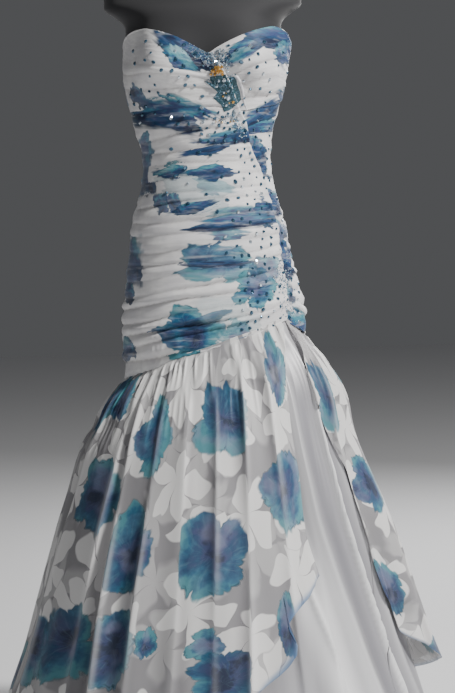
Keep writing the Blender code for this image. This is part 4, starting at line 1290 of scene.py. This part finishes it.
def organzaPlace(outline, blooms, edge=None):
    # A panel with no free edge of its own is the back one, whose angles run past 180
    def place(across, down):
        share = down ** skirt["rowsAbove"]
        angle, tall = outline(across, share)
        drop = mix(skirt["seamDrop"], tall, share)
        if edge is None:
            out = organzaOut(angle, drop) + skirt["organzaThick"]
            curled = 0 * angle
            x, y = clothPlaceOf(np.where(angle > 90.01, angle - 360, angle), drop)
        else:
            out = settled(angle, drop, reading(edge[0], drop), *edge[1])
            curled = bell(angle - 22, 7)
            x, y = clothPlaceOf(angle, drop)
        # the pleats' painted shade and painted highlight go into the cloth's colour
        _, lost, shade, shine = pleatsAt(organzaPleats, angle, drop)
        x = x + lost
        border = easeIn(drop, tall - 0.004 - 0.014 * curled, tall - 0.0015)
        return {
            "points": skirtPoint(angle, drop, out),
            "cloth": np.stack([x, y, 0 * x], -1),
            "hem": border * (0.75 + 0.25 * curled),
            "crease": np.clip(shade, 0, 1),
            "shine": np.clip(shine, 0, 1),
            **printChannels(x, y, blooms, "bloom", "ABC"),
        }

    return place


# The front hem doubles back on itself beside its tip: along the hem, degrees there, height
hemBend = (
    (-90, -90, 0.04), (-60, -60, 0.046), (-30, -30, 0.062), (-15, -15, 0.11), (0, 0, 0.175),
    (8, 8, 0.222), (12, 12, 0.238), (16, 16.5, 0.253), (18, 19.8, 0.266), (20, 22.2, 0.281),
    (21.5, 22.8, 0.297), (22.5, 21.6, 0.313), (23.5, 20.6, 0.328), (25, 23, 0.345),
    (28, 27.5, 0.361), (31.5, 31.5, 0.376), (36, 36, 0.394),
)


def frontOutline(across, share):
    tip = hemDrop(overskirtHem, seams["slitLeft"])
    along = mix(-90, seams["slitLeft"], across)
    angle = mix(-89.94, reading(frontEdge, tip * share), across)
    places, bends, heights = np.array(hemBend).T
    bent, height = np.interp(along, places, bends), np.interp(along, places, heights)
    return angle + (bent - along) * share**5, waistAt(along) - height


def sideOutline(across, share):
    tip = hemDrop(sideHem, seams["slitRight"])
    angle = mix(reading(sideEdge, tip * share), 89.94, across)
    return angle, hemDrop(sideHem, mix(seams["slitRight"], 90, across))


def backOutline(across, share):
    angle = mix(90.06, 269.94, across)
    angle = np.where(angle > 180, angle - 360, angle)
    return angle, np.where(angle > 0, hemDrop(sideHem, angle), hemDrop(overskirtHem, angle))


frontPlace = organzaPlace(frontOutline, skirtBlooms, (frontEdge, skirt["frontRest"]))
rightPlace = organzaPlace(sideOutline, sideBlooms, (sideEdge, skirt["sideRest"]))
organzaPieces = (
    ("overskirtFront", 270, 130, frontPlace, "overskirt_front"),
    ("overskirtRight", 84, 110, rightPlace, "overskirt_right"),
    ("overskirtBack", 240, 100, organzaPlace(backOutline, hiddenBlooms()), "overskirt_back"),
)
layCloth(organzaPieces, organza, skirt["organzaThick"])
print("stage: overskirt")

# The dress form
formNeck = (
    (1.3, 0.144, 0.094, 0), (1.34, 0.158, 0.088, 0.002), (1.375, 0.176, 0.078, 0.006),
    (1.4, 0.176, 0.068, 0.01), (1.425, 0.15, 0.062, 0.012), (1.445, 0.105, 0.06, 0.014),
    (1.462, 0.068, 0.058, 0.014), (1.485, 0.056, 0.055, 0.014), (1.512, 0.054, 0.054, 0.014),
)
form = {
    "columns": 96,
    "rings": 150,
    "foot": 0.7,
    "top": 1.508,
    "clear": 0.0045,
    "fullness": 0.86,
    "cap": 0.06,  # share of the height, at each end, that closes the form
    "neckSet": 0.014,
    "neckFrom": 1.34,
    "neckBlend": 0.03,
    "footRound": 0.9,
}


def formSkin():
    skin = bmesh.new()
    bmesh.ops.create_uvsphere(skin, u_segments=form["columns"], v_segments=form["rings"], radius=1)
    data = meshOf("formCover", skin)
    corners = cornersOf(data)
    ring = np.arccos(np.clip(-corners[:, 2], -1, 1)) / math.pi
    angle = np.degrees(np.arctan2(corners[:, 0], -corners[:, 1]))
    turn = np.radians(angle)
    cap = form["cap"]
    height = mix(form["foot"], form["top"], np.clip((ring - cap) / (1 - 2 * cap), 0, 1))
    spread = np.clip(np.minimum(ring, 1 - ring) / cap, 0, 1)
    inside, outward = bodySection(angle, height, even=True)
    inside += outward * (form["fullness"] * bust(angle, height) - form["clear"])[..., None]
    neckWide, neckDeep, centre = readings(formNeck, height)
    above = np.stack([neckWide * np.sin(turn), centre - neckDeep * np.cos(turn), height], -1)
    share = np.clip((height - form["neckFrom"]) / form["neckBlend"], 0, 1)[..., None]
    points = inside * (1 - share) + above * share
    axis = np.stack([0 * height, np.where(height > 1.3, form["neckSet"], 0.0), height], -1)
    rounded = mix(form["footRound"], 1, easeIn(height, form["foot"], form["foot"] + 0.02))
    setCorners(data, axis + (points - axis) * (spread * rounded)[..., None])
    return keepPiece("formCover", data, jersey, "dress_form")


formCover = formSkin()
finishes = {
    "zip_strip": tapeCloth,
    "zip_slider": nickel,
    "zip_pull": nickel,
    "neck_cap": lacquer,
    "stand_pole": lacquer,
    "stand_base": lacquer,
}
for node, finish in finishes.items():
    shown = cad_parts[node]
    shown.data.materials.clear()
    shown.data.materials.append(finish)
print("stage: form")

# Stones are set on the cloth where a ray meets it
corners, faces = [], []
for row in bodicePieces:
    first, data = len(corners), cloths[row[0]].data
    corners.extend(vertex.co.copy() for vertex in data.vertices)
    faces.extend([first + index for index in face.vertices] for face in data.polygons)
bodiceTree = BVHTree.FromPolygons(corners, faces)
stoneCut = {"tall": 0.8, "table": 0.55, "seat": 0.42}


def onCloth(right, below):
    place, normal, _, _ = bodiceTree.ray_cast(*sightLine(right, below))
    if place is None:
        return None, None
    return place, -normal if normal.y > 0 else normal


def stoneMesh(target, place, normal, radius, sides, stretch=1.0, turn=0.0):
    # A cut stone: a short cone frustum with a table on top, seated on the cloth
    if normal.dot(place - Vector((0, 0, place.z))) < 0:
        normal = -normal
    tall = radius * stoneCut["tall"]
    upright = normal.to_track_quat("Z", "Y").to_matrix().to_4x4()
    seat = Matrix.Translation(place + normal * tall * stoneCut["seat"]) @ upright
    seat = seat @ Matrix.Rotation(turn, 4, "Z") @ Matrix.Diagonal((stretch, 1, 1, 1))
    table = radius * stoneCut["table"]
    bmesh.ops.create_cone(
        target, cap_ends=True, segments=sides, radius1=radius, radius2=table, depth=tall, matrix=seat,
    )


def finishStones(name, stones, material, replaced=None):
    bmesh.ops.recalc_face_normals(stones, faces=stones.faces[:])
    return keepPiece(name, meshOf(name, stones), material, replaced)


rng = np.random.default_rng(41)

# Loose stones: frame areas with their count, smallest distance in pixels and size in metres
looseAreas = (
    ((128, 40, 205, 128), 40, 8.0, 0.0032),
    ((225, 42, 288, 110), 26, 8.5, 0.003),
    ((200, 95, 246, 142), 34, 5.4, 0.0029),
    ((150, 130, 240, 215), 14, 12.0, 0.0034),
    ((236, 120, 285, 215), 46, 6.0, 0.0028),
    ((225, 215, 290, 262), 26, 6.6, 0.0029),
    ((240, 255, 300, 330), 52, 6.2, 0.003),
)


# The motif's own area, in pixels, takes no loose stones
looseSet = {
    "motif": (203, 73, 242, 112),
    "tries": 12,
    "lowest": 0.8,
    "edgeOn": 0.15,
    "clearShare": 0.16,
    "stretch": 1.3,
}


def scatterStones():
    dark, clear = bmesh.new(), bmesh.new()
    taken = []
    motifLeft, motifTop, motifRight, motifFoot = looseSet["motif"]
    for (left, top, right, foot), count, apart, radius in looseAreas:
        tries = 0
        made = 0
        while made < count and tries < count * looseSet["tries"]:
            tries += 1
            x, y = rng.uniform(left, right), rng.uniform(top, foot)
            if any((x - a) ** 2 + (y - b) ** 2 < apart**2 for a, b in taken):
                continue
            place, normal = onCloth(x, y)
            if place is None or place.z < looseSet["lowest"] or abs(normal.y) < looseSet["edgeOn"]:
                continue
            if motifLeft < x < motifRight and motifTop < y < motifFoot:
                continue
            taken.append((x, y))
            made += 1
            target = clear if rng.random() < looseSet["clearShare"] else dark
            size = radius * rng.uniform(0.7, 1.15)
            stoneMesh(target, place, normal, size, 8, looseSet["stretch"], rng.uniform(0, 3))
    finishStones("looseStonesDark", dark, darkStone)
    finishStones("looseStonesClear", clear, clearStone)


scatterStones()

# The centre motif, in pixels: its raised patch, and stones with their size in metres
patchEdge = (
    (241, 100), (236, 105), (230, 110), (224, 112), (221, 105), (213, 98), (218, 92), (213, 85),
    (204, 81), (209, 77), (216, 76), (226, 75), (236, 73), (232, 78), (237, 84), (240, 92),
)
motif = {
    "patchCentre": (226, 93),
    "patchTall": 0.0016,
    "patchTop": 74,
    "patchFoot": 111,
    "onPatch": 0.0018,
    "offPatch": 0.0012,
    "goldFoot": 80,
    "goldHigh": 0.003,
    "goldLow": 0.0016,
    "setting": 1.18,
    "settingDepth": 0.25,
}
largeStones = (
    (219, 81, 0.0026, 1.3, 1.2), (224.5, 80, 0.0036, 1.2, 0.9), (217, 86, 0.0022, 1.6, 0.5),
    (224, 92, 0.0026, 1, 0), (228, 90, 0.0026, 1.2, 0.3), (228, 98, 0.0036, 1.5, 1.3),
    (225, 97, 0.0022, 1, 0), (226, 105, 0.0022, 1.3, 0.8), (234, 113, 0.0034, 1.6, 1.5),
    (227, 116, 0.0026, 1.3, 0.7), (237, 119, 0.0022, 1, 0),
    (232, 120, 0.0024, 1.2, 0.4), (222, 121, 0.0022, 1.2, 2), (240, 113, 0.002, 1, 0),
    (220, 57, 0.0034, 1.2, 0.9),
    (215, 62, 0.0026, 1.3, 0.4), (205, 62, 0.0032, 1.3, 0.2), (219, 51, 0.0024, 1.6, 2.2),
    (226, 65, 0.0028, 1.2, 0.9), (219, 63, 0.0026, 1, 0), (223, 60, 0.0024, 1, 0),
    (212, 54, 0.002, 1, 0), (195, 57, 0.0017, 1, 0),
)
goldStones = (
    (213, 72, 0.004), (219, 68, 0.0042), (222, 71, 0.0036), (216, 68, 0.0032), (218, 73, 0.0036),
    (211, 74, 0.0024), (222, 67, 0.0028), (215, 75, 0.0026), (223, 74, 0.0022), (233, 102, 0.0028),
    (223, 96, 0.0018), (226, 93, 0.0016), (229, 103, 0.0016), (216, 122, 0.0012), (219, 121, 0.0012),
    (222, 123, 0.0012), (230, 122, 0.0014), (234, 121, 0.0013),
)


def jewelPatch():
    pad = bmesh.new()
    bmesh.ops.create_uvsphere(pad, u_segments=64, v_segments=12, radius=1)
    centreX, centreY = motif["patchCentre"]
    edge = [(math.atan2(y - centreY, x - centreX), x, y) for x, y in patchEdge]
    edge.sort()
    turns = [row[0] for row in edge]
    for vertex in pad.verts:
        share = min(1.0, math.hypot(vertex.co.x, vertex.co.y))
        turn = math.atan2(vertex.co.y, vertex.co.x)
        x = np.interp(turn, turns, [row[1] for row in edge], period=2 * math.pi)
        y = np.interp(turn, turns, [row[2] for row in edge], period=2 * math.pi)
        place, normal = onCloth(mix(centreX, x, share), mix(centreY, y, share))
        bumps = 0.0005 * math.sin(9 * turn) * share
        vertex.co = place + normal * (0.0005 + vertex.co.z * (motif["patchTall"] + bumps))
    velvet = makePlain("beadedVelvet", (0.006, 0.028, 0.042), (0.05, 0.14, 0.17), 420, 0.35, 0.2, 0.5)
    finishStones("jewelPatch", pad, velvet)


def cloud(x, wide, y, tall):
    return lambda: (rng.normal(x, wide), rng.normal(y, tall), 0)


def alongNeckline():  # beads crowd the left edge of the V and thin out along the neckline
    along = rng.beta(1.1, 1.7)
    x = mix(217, 183, along) + rng.normal(0, 2.6)
    return x, mix(62, 45, along) + rng.normal(0, mix(6.0, 2.8, along)), 0


def overPatch():
    centreX, centreY = motif["patchCentre"]
    corner = rng.integers(len(patchEdge))
    share = rng.uniform(0, 1)
    x, y = (mix(patchEdge[corner][axis], patchEdge[corner - 1][axis], share) for axis in (0, 1))
    depth = 0.96 * math.sqrt(rng.uniform(0, 1))
    return mix(centreX, x, depth), mix(centreY, y, depth), motif["patchTall"] * math.sqrt(1 - depth * depth)


def downGathers():
    down = rng.uniform(0, 1)
    return mix(232, 244, down) + rng.normal(0, 3.0), mix(112, 138, down), 0


def centreMotif():
    clear, blue, amber, dark = (bmesh.new() for _ in range(4))

    def setStone(target, x, y, radius, sides, stretch=1.0, turn=0.0, lift=0.0):
        place, normal = onCloth(x, y)
        if place is not None:
            stoneMesh(target, place + normal * lift, normal, radius, sides, stretch, turn)

    def beads(count, spot, first, share, second, small, large):  # a share of them is of the first kind
        for _ in range(count):
            x, y, lift = spot()
            target = first if share == 1 or rng.random() < share else second
            setStone(target, x, y, rng.uniform(small, large), 6, lift=lift)

    beads(330, alongNeckline, clear, 0.34, blue, 0.0008, 0.0015)
    beads(130, cloud(222, 4.2, 60, 5.5), clear, 0.6, blue, 0.0009, 0.0018)
    beads(420, overPatch, blue, 0.86, clear, 0.0007, 0.0012)
    for x, y, radius, stretch, turn in largeStones:
        lift = motif["onPatch" if motif["patchTop"] < y < motif["patchFoot"] else "offPatch"]
        depth = motif["settingDepth"] * radius
        setStone(dark, x, y, radius * motif["setting"], 10, stretch, turn, lift - depth)
        setStone(clear, x, y, radius, 10, stretch, turn, lift + depth)
    for x, y, radius in goldStones:
        setStone(amber, x, y, radius, 9, 1.15, x, motif["goldHigh" if y < motif["goldFoot"] else "goldLow"])
    beads(90, downGathers, clear, 0.45, blue, 0.0009, 0.0017)
    beads(24, lambda: (rng.uniform(214, 240), rng.normal(121, 1.4), 0), clear, 1, clear, 0.0009, 0.0015)
    # the hip end of the gathers
    beads(170, cloud(285, 4.6, 278, 13), blue, 0.65, clear, 0.0009, 0.0017)
    beads(60, cloud(290, 4.4, 318, 9), blue, 0.5, clear, 0.0009, 0.0016)
    finishStones("motifClear", clear, clearStone, "applique_centre")
    finishStones("motifBlue", blue, blueStone)
    finishStones("motifAmber", amber, amberStone)
    finishStones("motifSettings", dark, darkStone)


jewelPatch()
centreMotif()
print("stage: stones")

# Piped edge of the neckline
piping = {"radius": 0.0013, "roll": 0.0034, "rollSink": 0.0012}
# The rolled edge of the gathers beside the jewel, in pixels, and its share of the full roll
gatherRoll = (
    (229, 75, 0.25), (233, 75, 0.7), (237, 77, 1), (240, 82, 1), (242, 89, 0.85),
    (243, 96, 0.75), (244, 102, 0.65), (246, 108, 0.45), (248, 114, 0.25),
)


def pipe(name, points, radius, material, swell=None):
    curve = bpy.data.curves.new(name, "CURVE")
    curve.dimensions = "3D"
    curve.bevel_depth = radius
    curve.bevel_resolution = 2
    curve.use_fill_caps = True
    spline = curve.splines.new("POLY")
    spline.points.add(len(points) - 1)
    for index, (point, place) in enumerate(zip(spline.points, points)):
        point.co = (*place, 1)
        point.radius = swell[index] if swell is not None else 1.0
    holder = addObject(name, curve)
    graph = bpy.context.evaluated_depsgraph_get()
    data = bpy.data.meshes.new_from_object(holder.evaluated_get(graph))
    bpy.data.objects.remove(holder)
    for face in data.polygons:
        face.use_smooth = True
    data.materials.clear()
    return keepPiece(name, data, material)


angles = np.concatenate([np.linspace(-178.6, 3, 150), np.linspace(3.6, 178.6, 140)])
edgePoints = bodicePoint(angles, reading(neckline, angles) - 0.0004, -0.0002)
pipingCloth = makePlain("pipingCloth", (0.62, 0.62, 0.65), (0.76, 0.75, 0.76), 500, 0.55, 0.0, 0.3)
edging = pipe("necklinePiping", edgePoints, piping["radius"], ruched)


def printEdging(data):
    # The piping is cut from the printed cloth, so the print runs over it
    corners = cornersOf(data)
    x, y, z = corners.T
    turn = np.degrees(np.arctan2(x, -y))
    right, below = seenAt(corners)
    onLeft = printOf("drape", right, below, 0 * z)
    onRight = printOf("cup", right, below, 0 * z)
    onBack = printOf("back", clothSpot(fromBack(turn), z)[:, 0], z, None)
    given = {"cloth": clothSpot(turn, z)}
    for key, left in onLeft.items():
        pick = turn if left.ndim == 1 else turn[:, None]
        given[key] = np.where(np.abs(pick) > 90, onBack[key], np.where(pick < 3, left, onRight[key]))
    setValues(data, given)


printEdging(edging.data)
steps = np.linspace(0, len(gatherRoll) - 1, 60)
rollX, rollY, rollSwell = (
    np.interp(steps, range(len(gatherRoll)), [row[column] for row in gatherRoll]) for column in range(3)
)
rollPoints = [onCloth(x, y)[0] + Vector((0, piping["rollSink"], 0)) for x, y in zip(rollX, rollY)]
pipe("gatherRoll", rollPoints, piping["roll"], pipingCloth, rollSwell)
print("stage: trim")

# Floor, light
stageSet = {"floor": (0.74, 0.74, 0.75), "world": (0.5, 0.51, 0.53), "worldStrength": 0.17}
floorShape = bmesh.new()
bmesh.ops.create_grid(floorShape, x_segments=1, y_segments=1, size=12)
floorData = meshOf("floor", floorShape)
floorFinish, floorShader = newMaterial("paleFloor")
wire(floorShader, {"Base Color": (*stageSet["floor"], 1), "Roughness": 0.8})
floorData.materials.append(floorFinish)
floorObject = addObject("floor", floorData)
world = bpy.data.worlds.new("studio")
world.use_nodes = True
background = {"Color": (*stageSet["world"], 1), "Strength": stageSet["worldStrength"]}
wire(world.node_tree.nodes["Background"], background)
bpy.context.scene.world = world


def softLight(name, place, size, power, colour):
    data = bpy.data.lights.new(name, "AREA")
    data.shape = "DISK"
    data.size = size
    data.energy = power
    data.color = colour
    lamp = addObject(name, data)
    lamp.location = place
    lamp.rotation_euler = (Vector((0, 0, 0.8)) - Vector(place)).to_track_quat("-Z", "Y").to_euler()


softLight("keyLight", (2.9, -1.9, 3.9), 0.6, 330, (1.0, 0.99, 0.97))
softLight("fillLight", (-1.2, -3.6, 1.3), 1.6, 12, (0.95, 0.97, 1.0))
softLight("backLight", (1.2, 2.6, 2.3), 1.6, 75, (1.0, 1.0, 1.0))
print("stage: light")
